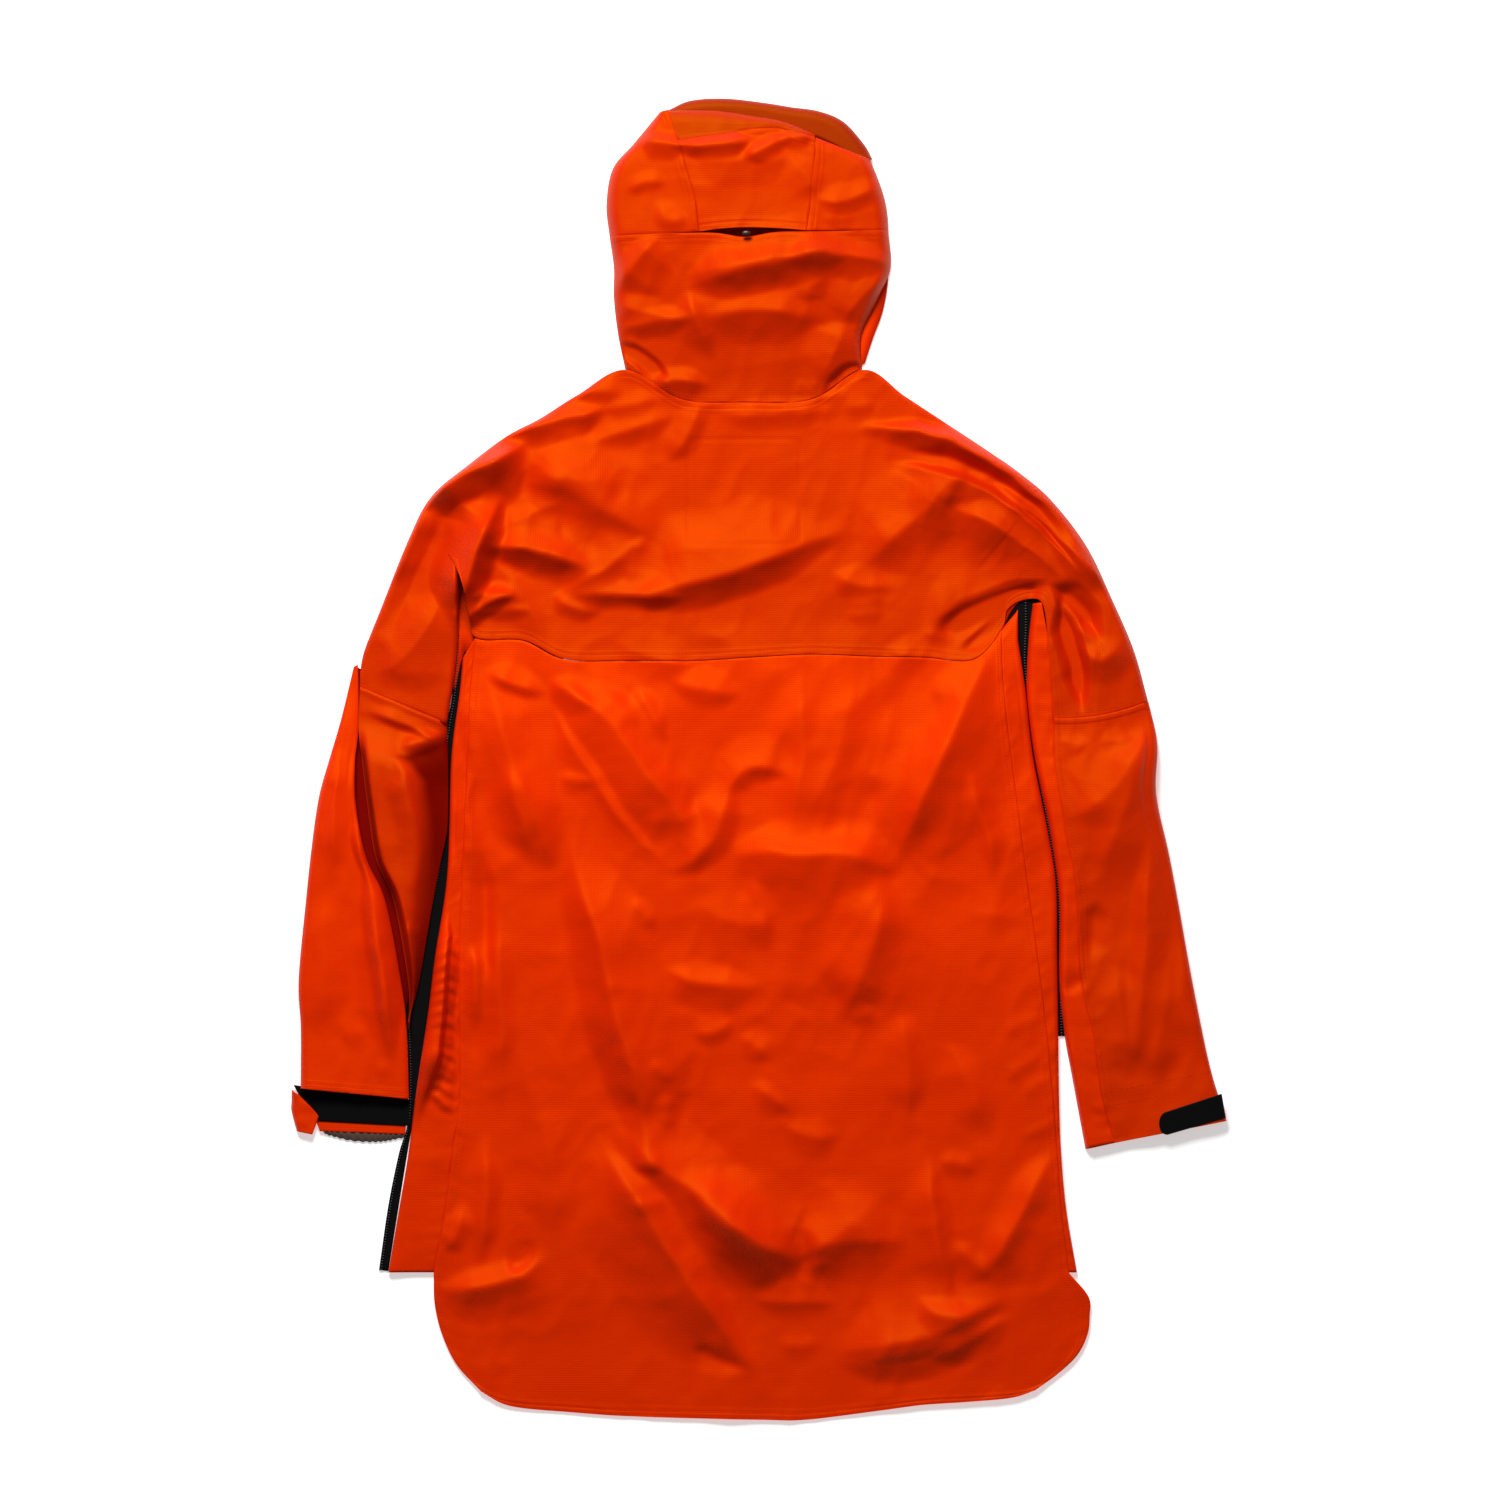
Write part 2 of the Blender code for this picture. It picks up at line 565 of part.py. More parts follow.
def make_front_yoke(material):
    places = yoke_places(0, ROW_LAST)[STEPS_PER_ROW:-1]
    waist = [(x, WAIST) for x in YOKE_INNER[ROW_SEAM_LEFT:ROW_SEAM_RIGHT, 0]]
    inner_points = np.vstack([UNDERYOKE_LEFT, waist, UNDERYOKE_RIGHT])
    outer = smooth_curve(YOKE_OUTER, places)
    inner = smooth_curve(inner_points, places)
    inward = (inner - outer) / np.linalg.norm(inner - outer, axis=1)[:, None]
    outer_inset = FLOOR_INSET * ease(np.abs(places - (ROW_NECK_LEFT + ROW_NECK_RIGHT) / 2), 2.0, 2.7)
    along = np.gradient(outer, axis=0)
    square = np.column_stack([along[:, 1], -along[:, 0]]) / np.linalg.norm(along, axis=1)[:, None]
    outer = outer + square * outer_inset[:, None]
    inner = inner - inward * (1.0 * (places < 5.5))[:, None]
    plan = ruled_plan(outer, inner, np.tile(np.linspace(0, 1, 3), (len(places), 1)))
    grid = np.concatenate([plan, np.full(plan.shape[:2] + (1,), CLOTH)], axis=2)
    return cloth_wall("front_yoke", grid, material, seams=tuple(BORDERS))


def make_back(material):
    top = smooth_curve(YOKE_INNER, yoke_places(ROW_SEAM_LEFT, ROW_SEAM_RIGHT))
    sides = []
    for corner, start, tail in ((LEFT_SEAM, top[0], BACK_LEFT), (RIGHT_SEAM, top[-1], BACK_RIGHT)):
        seam = body_line(corner, np.linspace(start[1], FRONT_HEM, BODY_STEPS + 1))
        tail_line = smooth_curve(tail, even_places(tail, 7))
        sides.append(np.vstack([seam, tail_line[1:]]))
    bottom = smooth_curve(BACK_HEM, even_places(BACK_HEM, len(top)))
    plan = coons_plan(top, bottom, *sides)
    return cloth_wall("back", raise_plan(plan), material, seams=("first_row", "first_column", "last_column"))


def make_front(material):
    share = np.linspace(0, 1, BODY_STEPS + 1)
    lines = {}
    tops = {LEFT_EDGE: UNDERYOKE_LEFT[3][1], LEFT_SEAM: YOKE_INNER[ROW_SEAM_LEFT][1],
            RIGHT_SEAM: YOKE_INNER[ROW_SEAM_RIGHT][1], RIGHT_EDGE: YOKE_INNER[ROW_SEAM_RIGHT + 1][1]}
    for corner, top_y in tops.items():
        lines[corner] = body_line(corner, top_y * (1 - share) + FRONT_HEM * share)
    level = sleeve_level(0.0)
    middle = (lines[LEFT_EDGE] + lines[RIGHT_EDGE]) / 2
    left = wrap_grid(lines[LEFT_SEAM], lines[LEFT_EDGE], middle, level, 3, 3)
    right = wrap_grid(lines[RIGHT_SEAM], lines[RIGHT_EDGE], middle, level, 3, 3)
    grid = np.concatenate([left, right[:, -2::-1]], axis=1)
    floor = slice(5, -5)
    floor_y = (WAIST - SEAM_GAP) * (1 - share) + FRONT_HEM * share
    grid[:, floor, 1] = floor_y[:, None]
    return cloth_wall("front", grid, material, seams=("first_row", "first_column", "last_column"))


def make_right_sleeve(shell):
    fold = np.vstack([columns([row], 0) for row in UNDERSLEEVE_TOP] + [columns(RIGHT_SLEEVE_ROWS, 0)])
    seam = np.vstack([columns([row], 2) for row in UNDERSLEEVE_TOP] + [columns(RIGHT_SLEEVE_ROWS, 2)])
    outer = columns(RIGHT_SLEEVE_ROWS, 4)
    start, end = len(UNDERSLEEVE_TOP), len(seam) - 1
    count = 17
    places = np.linspace(start, end, count)
    seam_line = smooth_curve(seam, places)
    outer_line = smooth_curve(outer, places - start)
    fold_line = smooth_curve(fold, places)
    inward = (outer_line - fold_line) / np.linalg.norm(outer_line - fold_line, axis=1)[:, None]
    level = sleeve_level(3.0 * ease(places, start, start + 2.0))
    grid = wrap_grid(seam_line, outer_line, fold_line + inward * FLOOR_INSET, level, 7, 3)
    width = np.linalg.norm(outer_line - seam_line, axis=1)[:, None]
    upper = slice(0, 10)
    across = np.linalg.norm(grid[:, upper, :2] - seam_line[:, None], axis=2) / width
    bow = ELBOW_BOW * 4 * across * (1 - across)
    grid[:, upper, 1] -= bow * (1 - ease(places, start, start + 1.6))[:, None]
    cloth_wall("sleeve_right", grid, shell, seams=("first_row", "first_column"))
    places = np.linspace(0, end, 25)
    extra = 3.0 * ease(places, start, start + 2.0)[:, None]
    grid = edge_rolled(smooth_curve(fold, places), smooth_curve(seam, places), EDGE_RADIUS, 4, extra=extra)
    cloth_wall("undersleeve_right", grid, shell, seams=("first_row", "last_column"))


def make_left_sleeve(shell):
    outer, crease, inner = (columns(LEFT_SLEEVE_ROWS, k) for k in (0, 2, 4))
    last = len(LEFT_SLEEVE_ROWS) - 1
    places = np.linspace(0, last, 17)
    outer_line, crease_line, inner_line = (smooth_curve(side, places) for side in (outer, crease, inner))
    inward = (inner_line - outer_line) / np.linalg.norm(inner_line - outer_line, axis=1)[:, None]
    level = sleeve_level(4.0 * ease(places, 0.0, 4.0))
    grid = wrap_grid(crease_line, outer_line, inner_line - inward * 2 * FLOOR_INSET, level, 6, 3)
    lobe_width = np.linalg.norm(outer_line - crease_line, axis=1)[:, None]
    from_crease = round_over(np.linspace(0, 1, 6)[None] * lobe_width, CREASE_RADIUS)
    grid[:, :6, 2] *= 1 - CREASE_DROP * (1 - from_crease)
    cloth_wall("sleeve_left", grid, shell, seams=("first_column", "last_row"))
    under_crease = np.vstack([YOKE_OUTER[:1], crease[1:-1] + (1.6, 0)])
    under_inner = np.vstack([YOKE_INNER[:1], inner[1:-1]])
    places = np.linspace(0, len(under_crease) - 1, 17)
    lowered = -3.5 * ease(places, 0.3, 2.0)[:, None]
    grid = edge_rolled(smooth_curve(under_inner, places), smooth_curve(under_crease, places), EDGE_RADIUS, 4,
                       extra=lowered)
    grid[..., 2] = np.maximum(grid[..., 2], np.where(np.arange(grid.shape[1]) > 3, LOBE_REST, 0.0)[None])
    grid[0, :, 1] -= SEAM_GAP
    cloth_wall("undersleeve_left", grid, shell, seams=("first_row", "last_column"))


def tape_plan(rows, count):
    places = np.linspace(0, len(rows) - 1, count)
    sides = smooth_curve(columns(rows, 0), places), smooth_curve(columns(rows, 2), places)
    return ruled_plan(*sides, np.tile([0.0, 0.5, 1.0], (count, 1)))


def make_zips(material):
    for name, rows, count in (("pit_zip_right", PIT_ZIP_ROWS, 8), ("side_zip_left", SIDE_ZIP_ROWS, 18)):
        plan = tape_plan(rows, count)
        grid = np.concatenate([plan, np.full(plan.shape[:2] + (1,), ZIP_TAPE_THICK)], axis=2)
        cloth_wall(name, grid, material, seams=("first_column", "last_column"), thickness=ZIP_TAPE_THICK)


def make_left_cuff(shell, tape, lining):
    cuff_top = 2 * CLOTH
    slab("cuff_left", CUFF_LEFT, 0.0, cuff_top, shell)
    band_top = cuff_top + LAY_GAP + TAPE_THICK
    slab("cuff_band_left", CUFF_BAND, cuff_top + LAY_GAP, band_top, tape)
    top = np.array(LINING_TOP, float)
    edge = np.array(LINING_EDGE, float)
    places = np.linspace(0, 3, 25)
    plan = ruled_plan(smooth_curve(top, places), smooth_curve(edge, places),
                      np.tile(np.linspace(0, 1, 4), (25, 1)))
    waves = 2.4 + 0.7 * np.sin(places * 2 * math.pi * 2.2)[:, None] * np.array([0.2, 0.6, 1.0, 1.0])
    cloth_wall("cuff_lining_left", np.concatenate([plan, waves[..., None]], axis=2), lining, thickness=1.2)
    corners = np.array(CUFF_TAB, float)
    start = corners[1:5]
    fold_top, fold_low = corners[0], corners[6]
    end = np.array([fold_top, (2 * fold_top + fold_low) / 3, (fold_top + 2 * fold_low) / 3, corners[5]])
    end[:3, 0] = fold_top[0]
    places = np.linspace(0, 3, 9)
    top_line, edge_line = smooth_curve(start, places), smooth_curve(end, places)
    tab_top = band_top + LAY_GAP + CLOTH
    turned_line = edge_line + (TAB_TURN, 0.0)
    grid = wrap_grid(top_line, edge_line, turned_line, lambda plan: np.full(len(plan), tab_top), 4, 3)
    cloth_wall("cuff_tab_left", grid, shell)


def make_cuff_patch(material):
    corners = np.array(CUFF_PATCH, float)
    long_side = (corners[1] - corners[0] + corners[2] - corners[3]) / 2
    across = np.linspace(0, 1, 5)
    along = np.linspace(0, 1, 10)
    half = np.linalg.norm(corners[3] - corners[0]) / 2
    bulge = half * (1 - np.sqrt(1 - (2 * across - 1) ** 2 * 0.96)) / np.linalg.norm(long_side)
    left = corners[0] * (1 - across[:, None]) + corners[3] * across[:, None]
    right = corners[1] * (1 - across[:, None]) + corners[2] * across[:, None]
    start = bulge[:, None] * 0.8
    shares = start + (1 - start) * along[None]
    plan = ruled_plan(left, right, shares)
    grid = raise_plan(plan, 3.0 + LAY_GAP + TAPE_THICK)
    cloth_wall("cuff_patch_right", grid, material, thickness=TAPE_THICK)


def make_hood_sides(shell):
    rows = HOOD_LEFT_ROWS
    places = np.linspace(0, len(rows) - 1, 13)
    outer, inner = smooth_curve(columns(rows, 0), places), smooth_curve(columns(rows, 2), places)
    grid = edge_rolled(outer, inner, HOOD_RADIUS, 5)
    cloth_wall("hood_left", grid, shell, seams=("last_row", "last_column"))

    rows = HOOD_RIGHT_ROWS
    places = np.concatenate([[0, 0.04, 0.15, 0.35], np.linspace(0.6, len(rows) - 1, 10)])
    outer, inner = smooth_curve(columns(rows, 2), places), smooth_curve(columns(rows, 0), places)
    grid = edge_rolled(outer, inner, HOOD_RADIUS, 5)
    crown_edge = smooth_curve(CROWN_EDGE, even_places(CROWN_EDGE, 40))
    depth = path_distance(grid[..., 0], grid[..., 1], crown_edge)[0]
    in_from_crown = round_over(depth, CROWN_RADIUS)
    at_crown = np.minimum(CROWN_REST, grid[..., 2])
    grid[..., 2] = grid[..., 2] * in_from_crown + at_crown * (1 - in_from_crown)
    cloth_wall("hood_right", grid, shell, seams=("first_row", "last_row", "last_column"))


def make_hood_front_edge(shell):
    rows = CROWN_ROWS
    places = np.linspace(0, len(rows) - 1, 16)
    grid = edge_rolled(smooth_curve(columns(rows, 0), places), smooth_curve(columns(rows, 2), places),
                       CROWN_RADIUS, 3, rest=CROWN_REST)
    cloth_wall("hood_crown", grid, shell, seams=("first_row", "last_row", "first_column", "last_column"))

    rows = BRIM_ROWS
    places = np.linspace(0, len(rows) - 1, 19)
    outer, inner = smooth_curve(columns(rows, 0), places), smooth_curve(columns(rows, 2), places)
    width = np.linalg.norm(inner - outer, axis=1)
    radius = np.minimum(BRIM_HEIGHT, 0.7 * width)
    depths = np.array([depth_steps(r, w, 3) for r, w in zip(radius, width)])
    plan = ruled_plan(outer, inner, depths / width[:, None])
    height = BRIM_HEIGHT * round_over(depths, radius[:, None])
    grid = np.concatenate([plan, height[..., None]], axis=2)
    cloth_wall("hood_brim", grid, shell, seams=("last_column",))


def make_hood_centre(shell):
    top = smooth_curve(CENTRE_TOP, even_places(CENTRE_TOP, 13))
    bottom = smooth_curve(CENTRE_BOTTOM, even_places(CENTRE_BOTTOM, 13))
    left = smooth_curve(columns(HOOD_LEFT_ROWS, 2), np.linspace(1, 4, 11))
    right = smooth_curve(columns(HOOD_RIGHT_ROWS, 0), np.linspace(0, 4, 11))
    plan = coons_plan(top, bottom, left, right)
    lift = FLAP_LIFT * np.linspace(0, 1, 11)[:, None] ** 2 * np.sin(np.linspace(0, math.pi, 13))[None] ** 0.5
    grid = raise_plan(plan, lift)
    cloth_wall("hood_centre", grid, shell, seams=tuple(BORDERS))


def make_hood_back(shell):
    radius_share = HOOD_RADIUS / HOOD_BACK_WIDTH
    near = radius_share * np.array([0.0, 0.05, 0.2, 0.5])
    across = np.concatenate([near, np.linspace(radius_share, 1 - radius_share, 10), 1 - near[::-1]])
    cross = smooth_curve(CROSS_SEAM, np.interp(across, [0, 1], [0, len(CROSS_SEAM) - 1]))
    neck_places = yoke_places(ROW_NECK_LEFT, ROW_NECK_RIGHT)
    yoke_neck = smooth_curve(YOKE_OUTER, neck_places)
    place = ROW_NECK_LEFT + across * (ROW_NECK_RIGHT - ROW_NECK_LEFT)
    neck = np.column_stack([np.interp(place, neck_places, yoke_neck[:, k]) for k in (0, 1)])
    left = smooth_curve(HOOD_BACK_LEFT, np.linspace(0, 4, 12))
    right = smooth_curve(HOOD_BACK_RIGHT, np.linspace(0, 4, 12))
    left[0], left[-1], right[0], right[-1] = cross[0], neck[0], cross[-1], neck[-1]
    down = np.linspace(0, 1, 12)[:, None, None]
    shares = across[None, :, None]
    plan = cross[None] * (1 - down) + neck[None] * down
    plan += left[:, None] * (1 - shares) + right[:, None] * shares
    plan -= (cross[0] * (1 - shares) + cross[-1] * shares) * (1 - down)
    plan -= (neck[0] * (1 - shares) + neck[-1] * shares) * down
    plan[-1, :, 1] += SEAM_GAP
    grid = raise_plan(plan)
    depth = np.minimum(across, 1 - across)[None] * HOOD_BACK_WIDTH
    grid[..., 2] *= round_over(depth, HOOD_RADIUS)
    cloth_wall("hood_back", grid, shell, seams=("first_row", "last_row"))


def make_hood_under(shell):
    neck_line = smooth_curve(YOKE_OUTER, yoke_places(ROW_NECK_LEFT, ROW_NECK_RIGHT)[1:-1])
    brow = np.linspace(HOOD_UNDER_LEFT[-1], HOOD_UNDER_RIGHT[-1], len(neck_line))
    left = smooth_curve(HOOD_UNDER_LEFT, even_places(HOOD_UNDER_LEFT, 12))
    right = smooth_curve(HOOD_UNDER_RIGHT, even_places(HOOD_UNDER_RIGHT, 12))
    left[0], right[0] = neck_line[0], neck_line[-1]
    plan = coons_plan(neck_line, brow, left, right)
    grid = np.concatenate([plan, np.full(plan.shape[:2] + (1,), CLOTH)], axis=2)
    cloth_wall("hood_under", grid, shell, seams=("first_row",))


def make_cord_lock(material):
    sides = 12
    angle = np.linspace(0, 2 * math.pi, sides + 1)[:-1]
    tilt = np.linspace(-math.pi / 2, math.pi / 2, 6)[1:-1]
    half = np.array(CORD_LOCK_SIZE) / 2
    middle = np.array([*CORD_LOCK, 0.0])
    middle[2] = cloth_height(middle[:1], middle[1:2])[0] + half[2] + LAY_GAP + 0.4
    ring = [[np.cos(t) * np.cos(a), np.cos(t) * np.sin(a), np.sin(t)] for t in tilt for a in angle]
    points = np.array(ring + [[0, 0, -1], [0, 0, 1]]) * half + middle
    low, high = len(points) - 2, len(points) - 1
    top_row = (len(tilt) - 1) * sides
    faces = []
    for c in range(sides):
        following = (c + 1) % sides
        faces.append((low, following, c))
        faces.append((high, top_row + c, top_row + following))
        for start in range(0, top_row, sides):
            faces.append((start + c, start + following, start + sides + following, start + sides + c))
    make_object("hood_cord_lock", points, faces, material)


# ---------------------------------------------------------------- materials and assembly
def make_material(name):
    material = bpy.data.materials.new(name)
    material.use_nodes = True
    shader = material.node_tree.nodes["Principled BSDF"]
    shader.inputs["Base Color"].default_value = COLOURS[name]
    shader.inputs["Roughness"].default_value = ROUGHNESS[name]
    shader.inputs["Metallic"].default_value = 0.0
    return material


def main():
    for thing in list(bpy.data.objects):
        bpy.data.objects.remove(thing, do_unlink=True)
    finish = {name: make_material(name) for name in COLOURS}
    shell = finish["shell"]
    make_front(shell)
    make_front_yoke(shell)
    make_back(shell)
    make_yoke(shell)
    make_right_sleeve(shell)
    make_left_sleeve(shell)
    make_zips(finish["zip_tape"])
    make_left_cuff(shell, finish["hook_and_loop"], finish["lining"])
    make_cuff_patch(finish["hook_and_loop"])
    make_hood_sides(shell)
    make_hood_front_edge(shell)
    make_hood_centre(shell)
    make_hood_back(shell)
    make_hood_under(shell)
    make_cord_lock(finish["toggle_plastic"])


main()
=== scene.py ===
# %% [markdown]
# # A rain anorak, laid flat with its back up
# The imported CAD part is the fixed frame: it says how large the coat is and where each cut
# piece lies.  Every cell below dresses one part of it.  The coat lies still, so all its
# pieces ride on the one body, "root".

# %% Load the frame
import json
import math

import bpy
import numpy as np
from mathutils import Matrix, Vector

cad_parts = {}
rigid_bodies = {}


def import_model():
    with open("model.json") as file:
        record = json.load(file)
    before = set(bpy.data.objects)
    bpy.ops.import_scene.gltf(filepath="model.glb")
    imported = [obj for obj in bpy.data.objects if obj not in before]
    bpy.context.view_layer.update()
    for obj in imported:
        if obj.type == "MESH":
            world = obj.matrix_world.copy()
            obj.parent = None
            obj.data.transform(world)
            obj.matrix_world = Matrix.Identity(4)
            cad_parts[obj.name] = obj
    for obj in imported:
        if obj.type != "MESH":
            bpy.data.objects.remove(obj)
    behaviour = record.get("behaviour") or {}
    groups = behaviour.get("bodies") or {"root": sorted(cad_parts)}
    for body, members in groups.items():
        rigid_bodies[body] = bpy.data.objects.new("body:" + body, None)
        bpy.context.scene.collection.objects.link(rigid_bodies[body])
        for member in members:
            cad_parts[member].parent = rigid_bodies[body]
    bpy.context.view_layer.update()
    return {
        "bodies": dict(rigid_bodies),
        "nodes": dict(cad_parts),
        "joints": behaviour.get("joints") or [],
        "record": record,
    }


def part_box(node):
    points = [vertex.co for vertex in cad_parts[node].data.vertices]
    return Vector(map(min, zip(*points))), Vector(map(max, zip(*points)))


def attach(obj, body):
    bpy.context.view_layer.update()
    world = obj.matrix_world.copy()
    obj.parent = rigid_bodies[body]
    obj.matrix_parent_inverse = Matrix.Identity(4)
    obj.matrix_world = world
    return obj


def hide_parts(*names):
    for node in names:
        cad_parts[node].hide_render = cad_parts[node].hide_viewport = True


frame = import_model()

# %% [markdown]
# ## Real sizes
# Lengths are millimetres, as a pattern cutter writes them, and turn to metres when a mesh is
# made.  The shell is a three-layer rain fabric: half a millimetre thick, and about twice
# that where it is turned and sewn.

# %% Sizes of cloth and sewing
MM = 0.001
CLOTH = 0.9             # thickness of the shell as it shows at an open edge
LAYERS = 3.7            # least height of back and front lying on each other
BODY_LOFT = 7.0         # height of the back panel where it has no fold
EDGE_RADIUS = 6.0       # how far in from the outline a folded edge rounds over
HOOD_RADIUS = 13.0      # the same at the hood
CROWN_RADIUS = 12.0     # the same at the crown's fold
CROWN_REST = 11.5       # height at which the crown's fold ends, over the brim
BRIM_HEIGHT = 9.0
SLIT_REST = 3.0         # height of a free edge over the layer below it
STITCH_PITCH = 3.4      # one stitch and its gap
STITCH_LENGTH = 2.5
THREAD = 0.55           # thickness of the sewing thread
STITCH_IN = 6.0         # from an edge to its row of stitches
LAP = 0.5               # how far a sewn turning lifts the cloth over it
STEP = 0.9              # how far a lapped edge stands over its neighbour

# %% [markdown]
# ## Curves and grids
# A sewn panel is best thought of as a grid: one family of lines runs along it and one runs
# across.  Grid lines that start on a seam let us press the seam's own small relief into the
# cloth, which a mesh cut out of a flat sheet wouldn't allow.  All of these helpers work on
# whole numpy arrays.

# %% Curves
def ease(value, start, end):
    """0 before start, 1 after end, and 3s^2 - 2s^3 between."""
    share = np.clip((value - start) / (end - start), 0.0, 1.0)
    return share * share * (3 - 2 * share)


def columns(rows, first):
    """Two neighbouring columns of a table, as plan points."""
    return np.array(rows, float)[:, first:first + 2]


def steps_along(line):
    return np.linalg.norm(np.diff(line, axis=0), axis=1)


def walked_along(line):
    """Length walked up to each point of a line."""
    return np.concatenate([[0.0], np.cumsum(steps_along(line))])


def at_lengths(line, walked, lengths):
    """Points of a line at given walked lengths."""
    return np.stack([np.interp(lengths, walked, line[:, k]) for k in range(line.shape[1])], axis=1)


def span(side_a, side_b):
    """Distance and direction from each point of side a to its partner on side b."""
    width = np.linalg.norm(side_b - side_a, axis=1)
    return width, (side_b - side_a) / width[:, None]


def smooth_curve(points, places):
    """Catmull-Rom curve: each stretch is a cubic whose slope at a point is half the step
    from the point before it to the point after it.  Place 0 is the first point."""
    points = np.asarray(points, float)
    places = np.asarray(places, float)
    first = np.clip(np.floor(places).astype(int), 0, len(points) - 2)
    step = (places - first)[:, None]
    ends = np.vstack([2 * points[0] - points[1], points, 2 * points[-1] - points[-2]])
    a, b, c, d = (ends[first + k] for k in range(4))
    cubic = (3 * b - a - 3 * c + d) * step ** 3
    return 0.5 * (2 * b + (c - a) * step + (2 * a - 5 * b + 4 * c - d) * step ** 2 + cubic)


def both_sides(rows, places):
    """The two long sides of a strip whose table holds them side by side."""
    return [smooth_curve(columns(rows, first), places) for first in (0, 2)]


def length_places(points, shares, start=0.0, end=None):
    """Places along a curve at given shares of its length."""
    end = len(points) - 1 if end is None else end
    places = np.linspace(start, end, 600)
    walked = walked_along(smooth_curve(points, places))
    return np.interp(np.asarray(shares) * walked[-1], walked, places)


def even_curve(points, shares, start=0.0, end=None):
    """Points of the smooth curve at given shares of its length."""
    return smooth_curve(points, length_places(points, shares, start, end))


NEAR = np.array([0.0, 0.4, 0.9, 1.6, 2.6, 3.8, 5.0, 6.2, 7.4, 8.8])    # mm in from a seam
NEAR_FIT = 2.6          # in a narrow panel these close lines take 1 / NEAR_FIT of the width


def edge_depths(width, count, start_near=NEAR, end_near=NEAR):
    """Depths across a panel: close beside both edges, even between.  One row a width."""
    width = np.atleast_1d(np.asarray(width, float))[:, None]
    fit = np.minimum(1.0, width / (NEAR_FIT * (start_near[-1] + end_near[-1])))
    near = start_near[None] * fit
    far = width - end_near[None, ::-1] * fit
    share = np.linspace(0, 1, count + 2)[1:-1]
    middle = near[:, -1:] * (1 - share) + far[:, :1] * share
    return np.hstack([near, middle, far])


def ruled_plan(side_a, side_b, shares):
    """Plan grid: each row runs straight from side a to side b, by its own or common shares."""
    shares = np.asarray(shares)[..., None]
    return side_a[:, None] * (1 - shares) + side_b[:, None] * shares


def with_height(plan, height):
    """Grid of points: a plan and the heights over it."""
    return np.concatenate([plan, np.broadcast_to(height, plan.shape[:2])[..., None]], axis=2)


def coons_plan(top, bottom, left, right, across, down):
    """Plan grid between four border curves: the two ruled grids added, less the corners'."""
    across = np.asarray(across)[None, :, None]
    down = np.asarray(down)[:, None, None]
    ruled = top[None] * (1 - down) + bottom[None] * down
    ruled = ruled + left[:, None] * (1 - across) + right[:, None] * across
    corners = (top[0] * (1 - across) + top[-1] * across) * (1 - down)
    corners = corners + (bottom[0] * (1 - across) + bottom[-1] * across) * down
    return ruled - corners


# %% [markdown]
# ## How the cloth lies
# One height function serves every panel, so panels meet along their seams by themselves.  It
# is the loft of a coat that lies flat, and folds pressed into it: a fold is a bent line with
# a round crest, and the cloth falls away from it on both sides as a stiff sheet does.  A
# fold's two flanks have their own widths, because the light finds the steep one.  The large
# folds repeat the CAD part's, and the finer ones are the photograph's.

# %% Folds, large and fine
MOUNDS = [
    # mid_x, mid_y, span_x, span_y, rise
    (-10, 522, 190, 128, 20.0),    # hood
    (310, 152, 62, 90, 9.0),       # right shoulder
    (343, -29, 50, 110, 5.0),      # right elbow
    (-317, 171, 52, 100, 6.0),     # left upper sleeve
    (1, -90, 300, 240, 8.0),       # middle of the back
]
LARGE_FOLDS = [
    # start_x, start_y, bend_x, bend_y, end_x, end_y, rise, left_width, right_width
    (-322, 240, -275, 275, -217, 303, 18.0, 8, 20),      # left shoulder point
    (-240, 250, -276, 204, -284, 118, 18.0, 8, 16),      # inner edge of left upper sleeve
    (-266, 202, -203, 206, -150, 173, 6.5, 18, 10),      # under it, across the armhole
    (-232, 295, -165, 247, -85, 200, 6.0, 26, 16),       # down the shoulder blade
    (-131, 154, -37, 163, 89, 226, 9.5, 30, 11),         # long fold across the back
    (124, 286, 215, 280, 290, 205, 10.0, 4, 36),         # right shoulder
    (158, 124, 215, 146, 275, 161, -4.0, 20, 18),        # right armhole
    (-196, 84, -126, 30, -52, -92, 7.0, 14, 26),         # left of the back
    (-262, 92, -246, 0, -183, -119, 6.0, 13, 18),
    (-186, -60, -130, -238, -98, -400, 9.0, 26, 14),
    (-158, -350, -85, -470, 0, -590, 8.0, 10, 30),       # long lower fold
    (-146, -345, -72, -392, 44, -520, 8.0, 22, 28),      # over it
    (-66, -386, 1, -477, 45, -476, 6.0, 26, 16),
    (39, -477, 72, -462, 125, -405, 3.5, 26, 16),
    (232, 131, 182, 23, 122, -110, 8.0, 34, 24),         # right of the back
    (139, -105, 72, -82, -33, -92, 4.5, 40, 16),
    (124, -109, 110, -181, 75, -251, 4.5, 30, 20),
    (284, -361, 240, -456, 210, -496, 3.0, 22, 10),
    (66, -569, 158, -580, 235, -506, 4.5, 30, 12),       # right of the tail
    (-313, -501, -246, -513, -192, -467, 3.5, 9, 16),    # left of the tail
    (377, 46, 352, -29, 322, -138, 4.5, 26, 18),         # right forearm
    (372, -60, 369, -163, 356, -300, 3.2, 14, 6),
    (-72, 449, 1, 472, 95, 490, 8.0, 16, 11),            # hood
    (-124, 411, -13, 437, 75, 421, 3.0, 10, 14),
]
